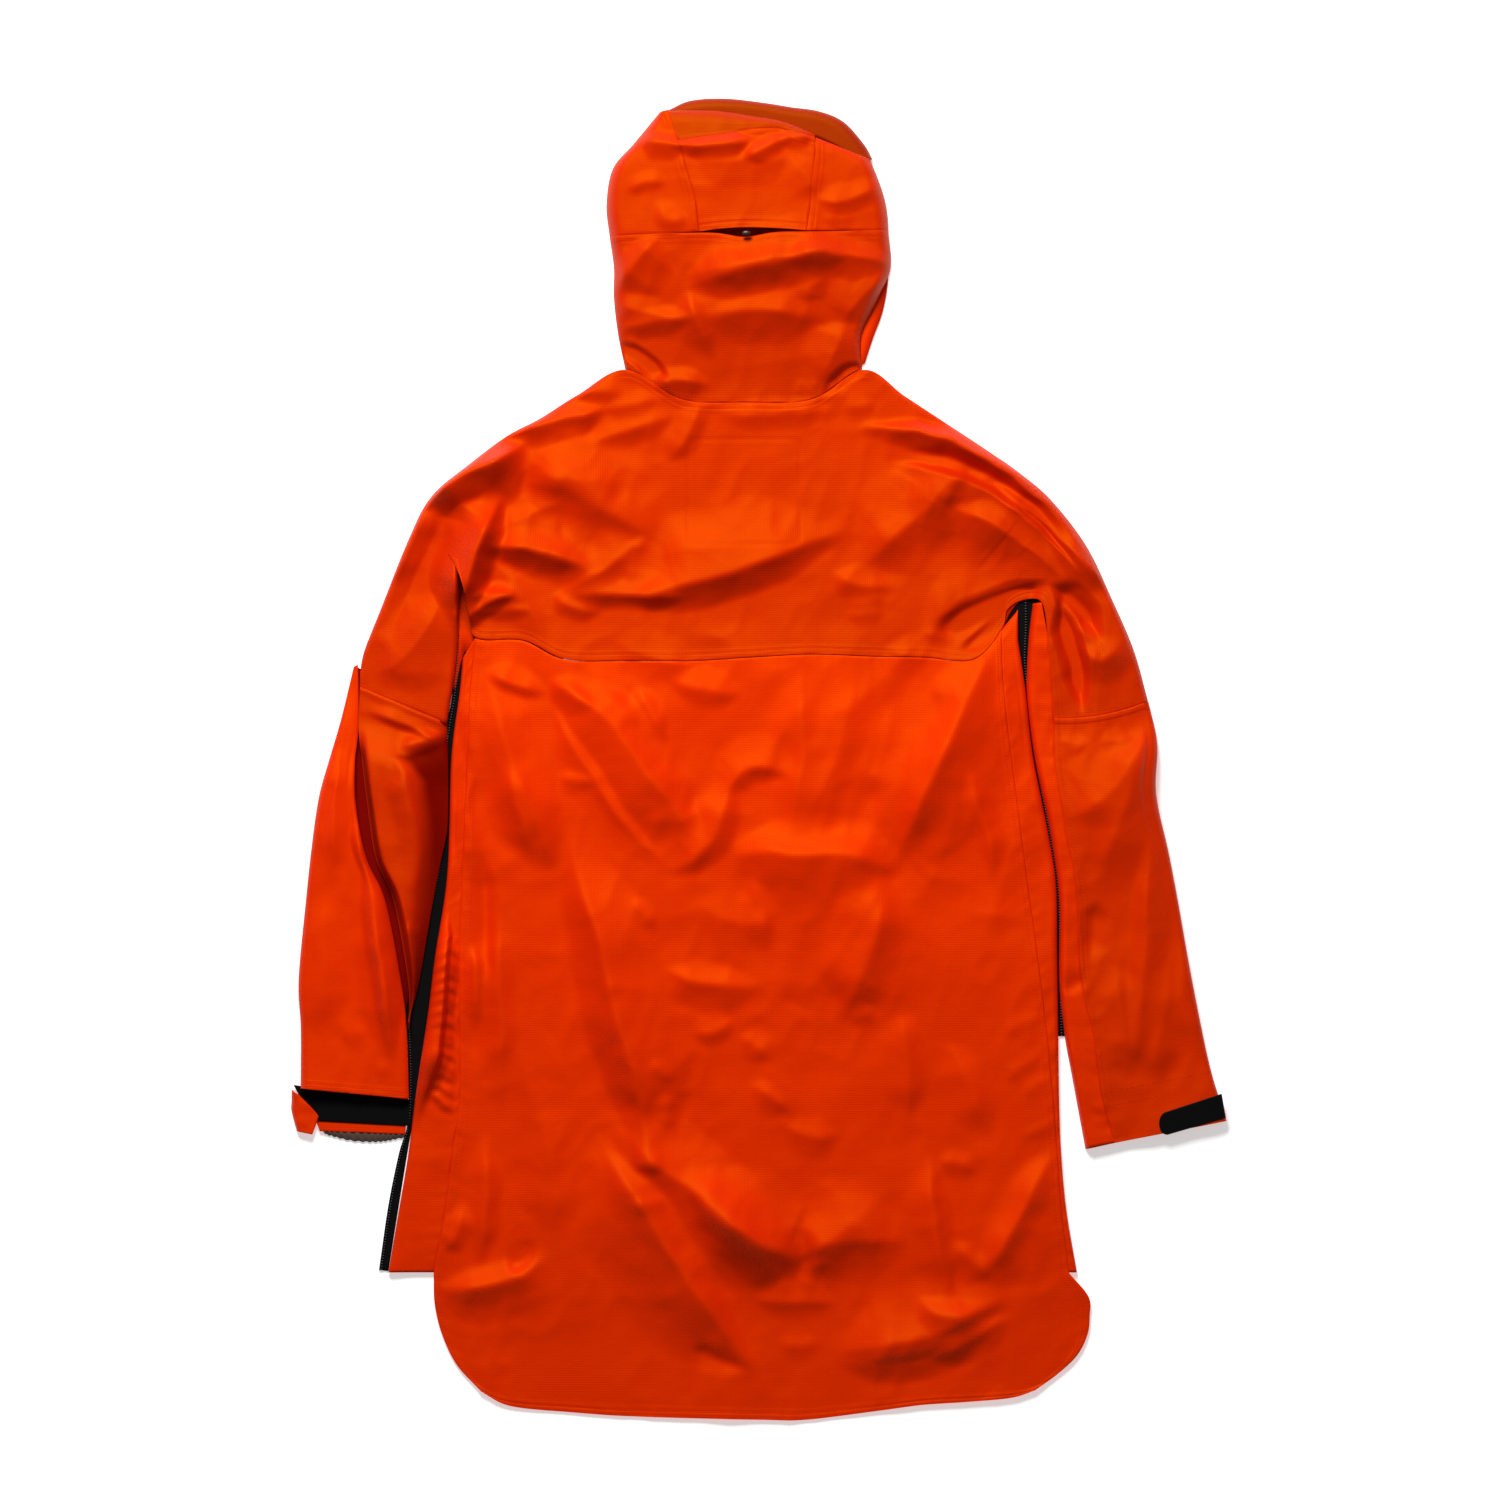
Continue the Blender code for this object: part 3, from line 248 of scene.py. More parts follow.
FINE_FOLDS = [
    # start_x, start_y, bend_x, bend_y, end_x, end_y, rise, left_width, right_width
    # yoke, left half
    (-246, 306, -193, 322, -140, 334, 7.5, 7, 9),
    (-180, 344, -155, 352, -123, 349, 3.5, 6, 5),
    (-147, 331, -123, 337, -92, 345, 4.0, 7, 6),
    (-151, 342, -142, 338, -140, 328, 2.5, 4, 4),
    (-168, 297, -121, 311, -79, 332, 4.0, 10, 7),
    (-54, 339, -64, 311, -88, 283, 4.0, 6, 9),
    (-45, 325, 10, 329, 77, 330, 3.0, 7, 7),
    (-227, 275, -175, 261, -113, 266, 3.0, 16, 10),
    (-221, 266, -203, 261, -181, 254, 2.5, 6, 5),
    (-183, 247, -218, 239, -254, 209, 4.2, 18, 9),
    (-261, 199, -218, 210, -157, 182, 5.0, 9, 9),
    (-227, 304, -180, 275, -109, 216, 3.8, 20, 16),
    (-189, 159, -145, 176, -108, 210, 6.0, 15, 8),
    (-110, 214, -112, 190, -124, 165, 4.5, 9, 7),
    (-195, 161, -183, 140, -145, 144, 4.5, 9, 5),
    (-183, 157, -132, 159, -66, 150, 6.5, 12, 6),
    (-258, 189, -218, 163, -200, 109, 3.0, 6, 12),
    (-278, 152, -251, 162, -218, 150, 4.5, 6, 6),
    (-267, 135, -241, 146, -210, 141, 3.5, 5, 5),
    (-286, 114, -271, 152, -227, 157, 8.0, 7, 5),
    (-99, 190, -56, 209, 1, 204, 2.5, 18, 14),
    # yoke, right half
    (75, 338, 94, 331, 113, 340, 3.5, 5, 6),
    (94, 313, 105, 315, 119, 312, 2.5, 5, 5),
    (219, 264, 288, 218, 337, 153, 6.0, 5, 14),
    (181, 275, 155, 222, 94, 180, 8.5, 18, 26),
    (183, 235, 229, 224, 290, 171, 8.0, 10, 18),
    (199, 273, 177, 262, 179, 235, 4.0, 8, 8),
    (73, 184, 86, 161, 134, 163, 3.6, 9, 7),
    (83, 152, 104, 146, 121, 153, 3.0, 6, 5),
    (83, 133, 98, 140, 119, 136, 3.0, 6, 6),
    (151, 121, 166, 117, 180, 129, 3.0, 5, 5),
    (155, 127, 199, 155, 273, 174, 6.0, 16, 10),
    (186, 104, 212, 127, 237, 146, 5.0, 6, 6),
    (276, 218, 309, 193, 333, 155, 3.0, 10, 9),
    (88, 313, 216, 328, 320, 184, 13.0, 6, 11),
    (113, 283, 233, 288, 309, 176, -12.0, 10, 3),
    (162, 119, 215, 148, 278, 169, -8.0, 7, 8),
    (189, 104, 214, 121, 238, 144, -5.5, 5, 6),
    (273, 167, 305, 157, 328, 108, -11.0, 7, 7),
    (282, 159, 299, 104, 307, 41, -14.0, 6, 7),
    (303, 114, 326, 66, 352, 123, 4.5, 11, 10),
    # back, upper part
    (-261, 87, -235, 70, -200, 65, 4.0, 8, 5),
    (-199, 78, -181, 66, -155, 48, 4.5, 5, 9),
    (-151, 68, -134, 51, -111, 28, 3.0, 6, 10),
    (-117, 72, -104, 45, -83, 15, 3.5, 6, 11),
    (-86, 77, -56, 62, -12, 62, 3.0, 9, 6),
    (-193, -16, -176, -23, -157, -21, 3.0, 4, 7),
    (-203, 60, -159, -31, -86, -103, 3.0, 4, 12),
    (94, 91, 79, -10, 29, -82, 4.6, 20, 22),
    (43, 93, 42, 0, 26, -82, 3.5, 10, 14),
    (33, -16, -16, 17, -35, -44, 4.0, 7, 14),
    (-24, -16, -33, -86, -90, -109, 4.0, 8, 16),
    (-33, -95, 39, -73, 130, -107, 3.0, 12, 24),
    (216, 106, 178, 7, 124, -103, 3.5, 14, 10),
    (123, -105, 98, -162, 39, -225, 3.0, 22, 14),
    (-7, -114, 12, -143, 5, -190, 2.0, 6, 10),
    (197, -6, 216, -57, 223, -118, 3.5, 8, 7),
    (134, 57, 115, 0, 104, -38, 2.5, 9, 12),
    (-113, -56, -85, -63, -52, -50, 1.6, 8, 8),
    (-123, -130, -111, -145, -96, -158, 2.5, 5, 6),
    (-66, -135, -18, -162, 20, -157, 1.8, 12, 12),
    (-273, 57, -275, -38, -271, -133, 2.6, 7, 9),
    (-241, 0, -232, -48, -214, -92, 3.0, 6, 8),
    (-261, -86, -259, -143, -254, -221, -3.4, 6, 8),
    (-248, -133, -242, -228, -248, -342, 3.0, 7, 11),
    (-271, -171, -265, -209, -271, -257, 3.0, 4, 6),
    (-312, -124, -313, -238, -332, -348, 16.0, 13, 3),
    (117, 104, 145, 93, 191, 93, 2.4, 10, 9),
    (162, 66, 180, 57, 197, 66, 2.5, 7, 6),
    (-140, 114, -104, 93, -56, 90, 2.4, 12, 10),
    # back, lower part
    (-94, -192, -56, -225, 1, -215, 3.5, 10, 12),
    (-66, -261, -42, -257, -24, -246, 3.0, 7, 6),
    (-22, -263, -5, -274, 16, -285, 3.0, 7, 6),
    (-10, -310, 10, -320, 31, -333, 2.6, 6, 8),
    (18, -341, 45, -367, 79, -354, 2.2, 10, 10),
    (83, -244, 98, -242, 111, -236, 3.0, 6, 5),
    (121, -130, 111, -190, 77, -244, 2.6, 12, 14),
    (-105, -284, -94, -297, -83, -303, 3.0, 5, 5),
    (-94, -316, -86, -333, -90, -352, 3.0, 7, 6),
    (-123, -384, -107, -377, -85, -388, 3.5, 8, 5),
    (-119, -422, -104, -426, -90, -415, 3.5, 5, 6),
    (-75, -390, -37, -443, 39, -477, 3.0, 20, 10),
    (26, -477, 73, -449, 148, -462, 4.5, 22, 18),
    (50, -470, 56, -489, 47, -510, 3.0, 8, 8),
    (-9, -512, 35, -517, 83, -513, 2.4, 10, 8),
    (14, -551, 39, -563, 60, -548, 2.0, 8, 8),
    (-66, -561, -41, -572, -11, -580, -3.2, 6, 7),
    (-238, -487, -227, -481, -212, -456, -6.0, 6, 5),
    (-311, -498, -242, -512, -204, -472, 2.0, 8, 9),
    (-261, -352, -256, -418, -267, -485, 4.0, 7, 8),
    (-303, -466, -282, -453, -278, -418, 3.5, 6, 6),
    (159, -367, 168, -447, 181, -519, 4.5, 7, 13),
    (168, -380, 186, -379, 208, -388, 2.4, 6, 7),
    (181, -455, 199, -475, 221, -491, 2.8, 7, 9),
    (278, -367, 248, -447, 206, -494, 2.2, 8, 14),
    (151, -506, 166, -542, 219, -515, 4.0, 8, 8),
    (69, -563, 162, -557, 240, -502, 4.5, 24, 9),
    (159, -565, 200, -557, 238, -525, 3.5, 6, 9),
    (231, -265, 242, -249, 267, -242, 1.2, 5, 5),
    (233, -306, 246, -287, 271, -278, 1.2, 5, 5),
    (248, -322, 261, -306, 280, -299, 1.2, 4, 5),
    (246, -363, 263, -350, 280, -346, 1.2, 4, 5),
    (181, -266, 204, -314, 219, -361, 3.0, 9, 12),
    (128, -228, 145, -285, 140, -342, 2.5, 10, 14),
    (-208, -323, -189, -399, -193, -456, 2.4, 14, 16),
    # hood
    (-128, 539, -113, 554, -88, 541, 4.0, 5, 4),
    (-100, 532, -92, 503, -66, 518, 4.0, 6, 5),
    (-113, 588, -94, 585, -66, 580, 8.0, 5, 8),
    (-85, 580, -45, 584, 1, 589, 8.0, 5, 6),
    (-18, 571, 3, 579, 29, 590, 8.0, 5, 5),
    (16, 586, 29, 589, 50, 585, 6.0, 4, 5),
    (-66, 568, -13, 571, 39, 566, 3.0, 8, 12),
    (26, 571, 39, 551, 56, 530, 3.5, 8, 10),
    (50, 530, 86, 524, 121, 551, 4.0, 8, 6),
    (64, 516, 75, 511, 96, 518, 2.5, 5, 5),
    (-94, 499, -119, 476, -138, 444, 7.0, 16, 7),
    (-138, 431, -117, 429, -86, 421, 4.0, 7, 5),
    (-136, 408, -102, 419, -62, 421, 4.0, 6, 7),
    (-73, 456, -16, 473, 39, 478, 4.0, 8, 14),
    (16, 471, 73, 494, 130, 463, 7.0, 8, 10),
    (-56, 416, 1, 433, 64, 418, 3.2, 9, 14),
    (66, 463, 41, 450, 47, 433, 4.0, 7, 7),
    (126, 461, 92, 440, 81, 410, 4.5, 8, 14),
    (88, 418, 79, 387, 45, 347, 3.4, 12, 14),
    (-71, 448, -62, 421, -43, 376, 4.5, 6, 9),
    (-140, 397, -113, 378, -83, 361, -10.0, 4, 4),
    (-100, 349, -83, 372, -45, 351, 6.0, 5, 9),
    (107, 376, 79, 370, 60, 343, -9.0, 4, 4),
    (83, 419, 77, 389, 60, 355, 2.0, 12, 14),
    (35, 345, 39, 353, 45, 361, 2.5, 3, 4),
    (47, 344, 50, 353, 56, 361, 2.5, 3, 4),
    # left sleeve
    (-297, 235, -318, 190, -352, 114, -5.0, 13, 12),
    (-307, 248, -333, 209, -349, 161, 4.0, 12, 5),
    (-371, 77, -318, 102, -292, 165, 5.0, 16, 18),
    (-373, 49, -339, 38, -305, 17, 2.8, 6, 3),
    (-351, 7, -314, -29, -326, -157, 10.0, 14, 9),
    (-345, 8, -322, 15, -299, 26, 7.0, 6, 6),
    (-341, -162, -330, -173, -318, -158, 4.0, 6, 5),
    (-383, 28, -384, -48, -368, -124, 5.0, 9, 4),
    (-375, -86, -358, -171, -347, -295, 5.0, 9, 5),
    (-398, 19, -408, -38, -404, -114, 3.6, 12, 14),
    (-408, -114, -413, -190, -419, -266, 3.0, 14, 16),
    (-371, -133, -352, -200, -349, -295, 4.0, 7, 12),
    (-368, -295, -354, -297, -347, -289, 2.5, 5, 5),
    (-398, -266, -387, -259, -368, -261, 2.5, 8, 8),
    # right sleeve
    (322, 19, 335, 22, 358, 20, 3.0, 6, 5),
    (371, 34, 349, -38, 284, -56, 4.5, 14, 20),
    (286, 17, 301, 20, 314, 14, 3.0, 5, 6),
    (318, -133, 324, -158, 314, -194, -3.5, 8, 8),
    (290, -221, 301, -213, 314, -202, -3.5, 6, 4),
    (333, -190, 347, -238, 352, -304, 3.0, 12, 12),
    (389, -190, 387, -257, 371, -310, 3.0, 12, 14),
    (400, -162, 406, -228, 419, -291, 2.6, 10, 10),
    (314, -348, 324, -342, 333, -344, 2.0, 4, 4),
    (314, -335, 322, -329, 332, -331, 2.0, 4, 4),
]
# puckers that the side zip pulls into the left flap
RIB_COUNT, RIB_STEP = 14, (-0.4, -11.4)         # how many, and from one to the next
RIB_START, RIB_BEND, RIB_END = (-310, -168), (12, -6), (27, -19)    # bend and end from its start
RIB_RISE, RIB_WIDTH, RIB_UNEVEN = 4.2, 2.6, 4
for rib in range(RIB_COUNT):
    x, y = RIB_START[0] + RIB_STEP[0] * rib, RIB_START[1] + RIB_STEP[1] * rib
    end_y = y + RIB_END[1] - RIB_UNEVEN * math.sin(2.1 * rib)
    FINE_FOLDS.append((x, y, x + RIB_BEND[0], y + RIB_BEND[1], x + RIB_END[0], end_y,
                       RIB_RISE, RIB_WIDTH, RIB_WIDTH))
LARGE_CREST, FINE_CREST = 3.0, 1.5      # mm, how round the top of a fold is
LARGE_GAIN, FINE_GAIN = 1.5, 1.25       # the light finds these folds, so they stand up more
FADE = 0.34             # share of a fold's length over which each end dies away
FULL_LENGTH = 70.0      # mm, shorter folds stand lower
FOLD_STEPS = 8
REACH = 2.2             # a flank's reach in its widths
END_REACH = 0.3         # share of that reach left at a fold's ends
FLANK_POWER = 1.4
print(len(LARGE_FOLDS), "large folds and", len(FINE_FOLDS), "fine ones")

# %% Fold and lattice functions
def fold_path(row):
    """Points of a bent line: a quadratic curve from start to end, pulled towards its bend."""
    share = np.linspace(0, 1, FOLD_STEPS + 1)[:, None]
    start, bend, end = (np.array(row[k:k + 2], float) for k in (0, 2, 4))
    return (1 - share) ** 2 * start + 2 * share * (1 - share) * bend + share ** 2 * end


def path_distance(x, y, path):
    """Distance to a bent line, which side of it a point is on, and the share walked along it."""
    best = np.full(x.shape, np.inf)
    side = np.ones(x.shape)
    walked = np.zeros(x.shape)
    for number, (start, end) in enumerate(zip(path[:-1], path[1:])):
        run = end - start
        share = ((x - start[0]) * run[0] + (y - start[1]) * run[1]) / (run @ run)
        share = np.clip(share, 0.0, 1.0)
        away_x = x - start[0] - share * run[0]
        away_y = y - start[1] - share * run[1]
        distance = np.hypot(away_x, away_y)
        nearer = distance < best
        best = np.where(nearer, distance, best)
        side = np.where(nearer, np.sign(run[0] * away_y - run[1] * away_x), side)
        walked = np.where(nearer, (number + share) / (len(path) - 1), walked)
    return best, side, walked


def press_folds(x, y, rows, crest):
    """Sum of folds: rise times (1 - t)^FLANK_POWER, where t is the distance from the rounded
    crest over that flank's reach, so a flank is nearly plane and ends softly.  Towards both
    ends the rise and the reach shrink together, so the fold runs out in a point.  A fold
    shorter than FULL_LENGTH stands lower by the same share."""
    total = np.zeros(x.shape)
    for row in rows:
        path = fold_path(row)
        rise, left_width, right_width = row[6:]
        rise *= min(1.0, steps_along(path).sum() / FULL_LENGTH)
        reach = REACH * max(left_width, right_width)
        near = (x > path[:, 0].min() - reach) & (x < path[:, 0].max() + reach)
        near &= (y > path[:, 1].min() - reach) & (y < path[:, 1].max() + reach)
        if not near.any():
            continue
        distance, side, walked = path_distance(x[near], y[near], path)
        taper = ease(walked, 0.0, FADE) * ease(1 - walked, 0.0, FADE)
        width = REACH * np.where(side > 0, left_width, right_width) * (END_REACH + (1 - END_REACH) * taper)
        flank = (1 - np.clip((np.hypot(distance, crest) - crest) / width, 0, 1)) ** FLANK_POWER
        total[near] += rise * flank * taper
    return total


LATTICE = 256           # corners of the random lattice along one side
CREST_ROUND = 0.03


def lattice_height(x, y, cell, seed):
    """Random heights, -1 to 1, on a square lattice, blended between its corners."""
    lattice = np.random.default_rng(seed).uniform(-1, 1, (LATTICE, LATTICE))
    across, up = x / cell + LATTICE / 2, y / cell + LATTICE / 2
    column, row = np.floor(across).astype(int), np.floor(up).astype(int)
    right, above = ease(across - column, 0, 1), ease(up - row, 0, 1)
    row, column, next_row, next_column = (k % LATTICE for k in (row, column, row + 1, column + 1))
    low = lattice[row, column] * (1 - right) + lattice[row, next_column] * right
    high = lattice[next_row, column] * (1 - right) + lattice[next_row, next_column] * right
    return low * (1 - above) + high * above


def crumple(x, y, cell, seed):
    """Ridged lattice, 0 to 1: a crest wherever the random height crosses zero."""
    return 1 - np.hypot(lattice_height(x, y, cell, seed), CREST_ROUND)


def fanned_crumple(x, y, pole, cell, seed):
    """Crumples several times longer than wide that fan out from a pole, as pulled cloth does.
    Their first coordinate is the turn from straight down, as an arc at FAN_AT."""
    turn = FAN_AT * np.arctan2(x - pole[0], pole[1] - y)
    return crumple(turn, np.hypot(x - pole[0], y - pole[1]) / FAN_LONG, cell, seed)


CREASE_AREA, CREASE_HALF = ((-440, -610), (440, 600)), (9, 34)      # where they lie, and half their length
CREASE_ANGLE = math.radians(100), math.radians(38)      # mean and spread
CREASE_BEND, CREASE_RISE, CREASE_WIDTH = 7, (0.3, 0.9), (3.5, 10)


def small_folds(count, seed):
    """Short creases strewn over the coat, most of them running down it."""
    draw = np.random.default_rng(seed)
    rows = []
    for _ in range(count):
        middle = draw.uniform(*CREASE_AREA)
        angle = draw.normal(*CREASE_ANGLE)
        half = draw.uniform(*CREASE_HALF) * np.array([math.cos(angle), math.sin(angle)])
        bend = middle + draw.uniform(-CREASE_BEND, CREASE_BEND, 2)
        rise = draw.choice([-1, 1]) * draw.uniform(*CREASE_RISE)
        rows.append((*(middle - half), *bend, *(middle + half), rise, *draw.uniform(*CREASE_WIDTH, 2)))
    return rows


# %% Height of the cloth
FAN_LEFT, FAN_RIGHT = (-420, 420), (390, 470)       # poles, beyond the two shoulders
FAN_AT, FAN_LONG, FAN_RISE, FAN_CELL = 430.0, 3.2, 4.0, 46
FAN_CHANGE = -110, 70   # between these x the left fan gives way to the right one
FAN_FADE, FAN_LOST = (40, 150), 0.7     # upwards between these y they lose this share of their rise
STRAYS = [(3.0, 42), (1.0, 15)]         # how far folds stray from their lines, and the cell of it
DENTS = [(1.2, 66, 5), (0.4, 27, 6)]    # height, cell and seed of the soft dents
WEAR_RISE, WEAR_CELL, WEAR_LEAN, WEAR_LONG = 1.2, 23, 0.3, 0.7      # crumples of worn cloth
GRAIN, GRAIN_CELL = 0.07, 9
SETTLE = 3.0            # about the crumples' mean height, taken off again
TAIL_DROP = 440, 548    # down the coat between these, its layers give way to the tail's one
TAIL_LEAST, TAIL_LOFT = CLOTH + 0.8, CLOTH + 1.7
SOFTNESS = 1.5          # how softly the cloth meets its least height
# The folds stand higher on the back than on the hood: y, then how many times as high.
STAND = [-60, 60, 300, 380], [1.45, 1.2, 1.05, 0.95]
CREASES = small_folds(150, seed=11)


def loft_height(x, y):
    """The coat without folds: an even loft and broad mounds."""
    loft = np.full(x.shape, BODY_LOFT)
    for mid_x, mid_y, span_x, span_y, rise in MOUNDS:
        away = ((x - mid_x) / span_x) ** 2 + ((y - mid_y) / span_y) ** 2
        loft += rise * np.exp(-away ** 1.5)
    return loft


def strayed(value, x, y, first_seed):
    """A coordinate moved about at random, so that no fold runs quite straight."""
    for number, (rise, cell) in enumerate(STRAYS):
        value = value + rise * lattice_height(x, y, cell, first_seed + number)
    return value


def cloth_height(x, y):
    """Height of the upper face of the cloth over the floor, mm."""
    fold_x, fold_y = strayed(x, x, y, 1), strayed(y, x, y, 3)
    folds = LARGE_GAIN * press_folds(fold_x, fold_y, LARGE_FOLDS, LARGE_CREST)
    folds += FINE_GAIN * press_folds(fold_x, fold_y, FINE_FOLDS, FINE_CREST)
    folds += press_folds(fold_x, fold_y, CREASES, FINE_CREST)
    folds *= np.interp(y, *STAND)
    folds += sum(rise * lattice_height(x, y, cell, seed) for rise, cell, seed in DENTS)
    to_right = ease(x, *FAN_CHANGE)
    fan_rise = FAN_RISE * (1 - FAN_LOST * ease(y, *FAN_FADE))
    folds += fan_rise * (1 - to_right) * fanned_crumple(fold_x, fold_y, FAN_LEFT, FAN_CELL, 8)
    folds += fan_rise * to_right * fanned_crumple(fold_x, fold_y, FAN_RIGHT, FAN_CELL, 18)
    folds += WEAR_RISE * crumple(fold_x - WEAR_LEAN * y, WEAR_LONG * fold_y, WEAR_CELL, 9)
    folds += GRAIN * lattice_height(x, y, GRAIN_CELL, 7) - SETTLE
    tail = ease(-y, *TAIL_DROP)
    least = LAYERS * (1 - tail) + TAIL_LEAST * tail
    height = loft_height(x, y) * (1 - tail) + TAIL_LOFT * tail + folds
    spare = height - least
    return least + 0.5 * (spare + np.hypot(spare, SOFTNESS))


def round_over(depth, radius):
    """Quarter round: 0 at a folded edge, 1 from one radius in."""
    inside = 1 - np.clip(depth / radius, 0.0, 1.0)
    return np.sqrt(1 - inside ** 2)


def raise_plan(plan, extra=0.0):
    return with_height(plan, cloth_height(plan[..., 0], plan[..., 1]) + extra)


# %% [markdown]
# ## From a grid to sewn cloth
# A grid of points becomes a mesh with one call, and Solidify gives the sheet its thickness
# towards the inside.  Before that, each border gets its own small relief: a lapped seam
# stands up where a turning lies under it, the cloth beside it dips into the seam, and
# stitching gathers it into puckers a centimetre apart.

# %% Seams along the borders
BORDERS = ("first_row", "last_row", "first_column", "last_column")
SEAMS = {
    # rise of the turning, where it ends from and to, its groove, dip at the seam, from and to
    "lap": (LAP, 7.0, 9.5, 0.5, 0.3, 0.0, 0.9),
    "tuck": (0.0, 7.0, 9.0, 0.0, 0.4, 0.2, 1.8),
    "step": (STEP, 3.0, 9.0, 0.3, 0.0, 0.0, 1.0),
    "under": (0.0, 7.0, 9.0, 0.0, 0.0, 0.0, 1.0),
    "hem": (0.5, 8.0, 11.0, 0.55, 0.0, 0.0, 1.0),
}
GROOVE = 0.9            # half width of the groove that a row of stitches presses
PUCKERS = [(1.0, 5.5, 0), (0.6, 14, 50)]        # share, length and seed step of their two waves
PUCKER_FADE = 11.0


def turned(grid, border):
    """View of a grid with the border as its first row."""
    if border == "first_row":
        return grid
    if border == "last_row":
        return grid[::-1]
    side = np.swapaxes(grid, 0, 1)
    return side if border == "first_column" else side[::-1]


def border_depth(grid, border):
    """How far each point lies in from a border, and how far along it, walking on the cloth."""
    rows = turned(grid, border)
    depth = np.zeros(rows.shape[:2])
    depth[1:] = np.cumsum(np.linalg.norm(np.diff(rows, axis=0), axis=2), axis=0)
    along = np.zeros(rows.shape[1])
    along[1:] = np.cumsum(np.linalg.norm(np.diff(rows[0], axis=0), axis=1))
    return depth, along


def sew_border(grid, border, kind, pucker=0.3, seed=1):
    """Presses a seam's relief into the heights beside one border.

    lap: the turning lifts the cloth beside the seam, which dips a little.  tuck: the cloth
    dips into the seam.  step: the cloth lies on its neighbour, which is sewn under.  under:
    it is that neighbour.  hem: a double turning.  The row of stitches presses a groove.
    Puckers are a random wave along the seam that dies away within 2 cm.
    """
    depth, along = border_depth(grid, border)
    rise, rise_from, rise_to, groove, dip, dip_from, dip_to = SEAMS[kind]
    relief = rise * (1 - ease(depth, rise_from, rise_to))
    relief = relief - groove * np.exp(-((depth - STITCH_IN) / GROOVE) ** 2)
    relief -= dip * (1 - ease(depth, dip_from, dip_to))
    swing = sum(share * lattice_height(along, 0 * along, cell, seed + step)
                for share, cell, step in PUCKERS)
    relief += pucker * swing[None] * np.exp(-depth / PUCKER_FADE) * ease(depth, 0.0, 2.0)
    turned(grid, border)[..., 2] += relief
    return grid


def sew_borders(grid, seed, pucker=0.3, **kinds):
    """Sews several borders of a panel, each with the next seed."""
    for number, (border, kind) in enumerate(kinds.items()):
        sew_border(grid, border, kind, pucker, seed + number)


# %% Grid to mesh
HIGHEST = 0.9           # cells above this share of the heights certainly look up
LEAST_FILL = 0.31       # least share of its flat rectangle that a sheet is said to fill
SIZE_SPARE, A_HAIR_MORE = 0.001, 1.0001     # m added to a flat size; so rounding can't cut into it


def sheet_area(grid):
    """Area of the cloth on a grid, m2: half the cross product of each cell's diagonals."""
    first = grid[1:, 1:] - grid[:-1, :-1]
    second = grid[1:, :-1] - grid[:-1, 1:]
    return float(np.linalg.norm(np.cross(first, second), axis=2).sum() / 2) * MM * MM


def put_in_scene(name, data):
    piece = bpy.data.objects.new(name, data)
    bpy.context.scene.collection.objects.link(piece)
    return piece


def new_piece(name, points, faces, material):
    """Smoothly shaded mesh of points in mm."""
    mesh = bpy.data.meshes.new(name)
    mesh.from_pydata((points.reshape(-1, 3) * MM).tolist(), [], faces)
    mesh.shade_smooth()
    mesh.materials.append(material)
    return put_in_scene(name, mesh)


def grid_object(name, grid, material, thickness):
    """Mesh of a grid whose faces all look up or out, with a wall of some thickness inwards."""
    rows, count = grid.shape[:2]
    corner = (np.arange(rows - 1)[:, None] * count + np.arange(count - 1)[None]).reshape(-1)
    faces = np.stack([corner, corner + count, corner + count + 1, corner + 1], axis=1)
    normal = np.cross(grid[1:, :-1] - grid[:-1, :-1], grid[:-1, 1:] - grid[:-1, :-1])
    highest = grid[:-1, :-1, 2] > np.quantile(grid[..., 2], HIGHEST)
    if normal[highest][:, 2].sum() < 0:
        faces = faces[:, ::-1]
    piece = new_piece(name, grid, faces.tolist(), material)
    wall = piece.modifiers.new("thickness", "SOLIDIFY")
    wall.thickness = thickness * MM
    wall.offset = -1.0
    return piece


def dress(piece, node):
    """The piece rides on the coat's one body and stands for its CAD node, which is hidden."""
    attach(piece, "root")
    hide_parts(node)


def ride_along(piece):
    """A small piece that stands for no node of its own."""
    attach(piece, "root")


def sew_panel(node, grid, material, thickness=CLOTH):
    """Finished cloth panel: mesh, thickness, and the flat size that it was cut to."""
    piece = grid_object(node + "_cloth", grid, material, thickness)
    middle_lines = grid[len(grid) // 2], grid[:, grid.shape[1] // 2]
    width, height = (steps_along(line).sum() * MM for line in middle_lines)
    area = sheet_area(grid)
    scale = max(1.0, math.sqrt(area / (width * height)) * A_HAIR_MORE)
    flat = (round(width * scale, 3) + SIZE_SPARE, round(height * scale, 3) + SIZE_SPARE)
    area = max(area, LEAST_FILL * flat[0] * flat[1])
    dress(piece, node)
    faces = (grid.shape[0] - 1) * (grid.shape[1] - 1)
    print(f"{node}: {flat[0]:.3f} x {flat[1]:.3f} m, {area:.4f} m2, {4 * faces} triangles")
    return piece

# %% [markdown]
# ## Colours and weave
# The shell is a plain-woven nylon, dyed bright orange and proofed, so it is matt with a soft
# sheen at a low angle.  Its threads are a quarter of a millimetre apart, too fine for the
# picture, so the weave is drawn coarser.  Two woven waves at right angles, a crumple of
# cloth that has been worn, and a faint unevenness of the dye give the eye something at every
# distance.

# %% Node helper and colours
def linear(code):
    """sRGB hex to the linear values that a shader works in."""
    values = [int(code[k:k + 2], 16) / 255 for k in (1, 3, 5)]
    return tuple(v / 12.92 if v <= 0.04045 else ((v + 0.055) / 1.055) ** 2.4 for v in values) + (1.0,)


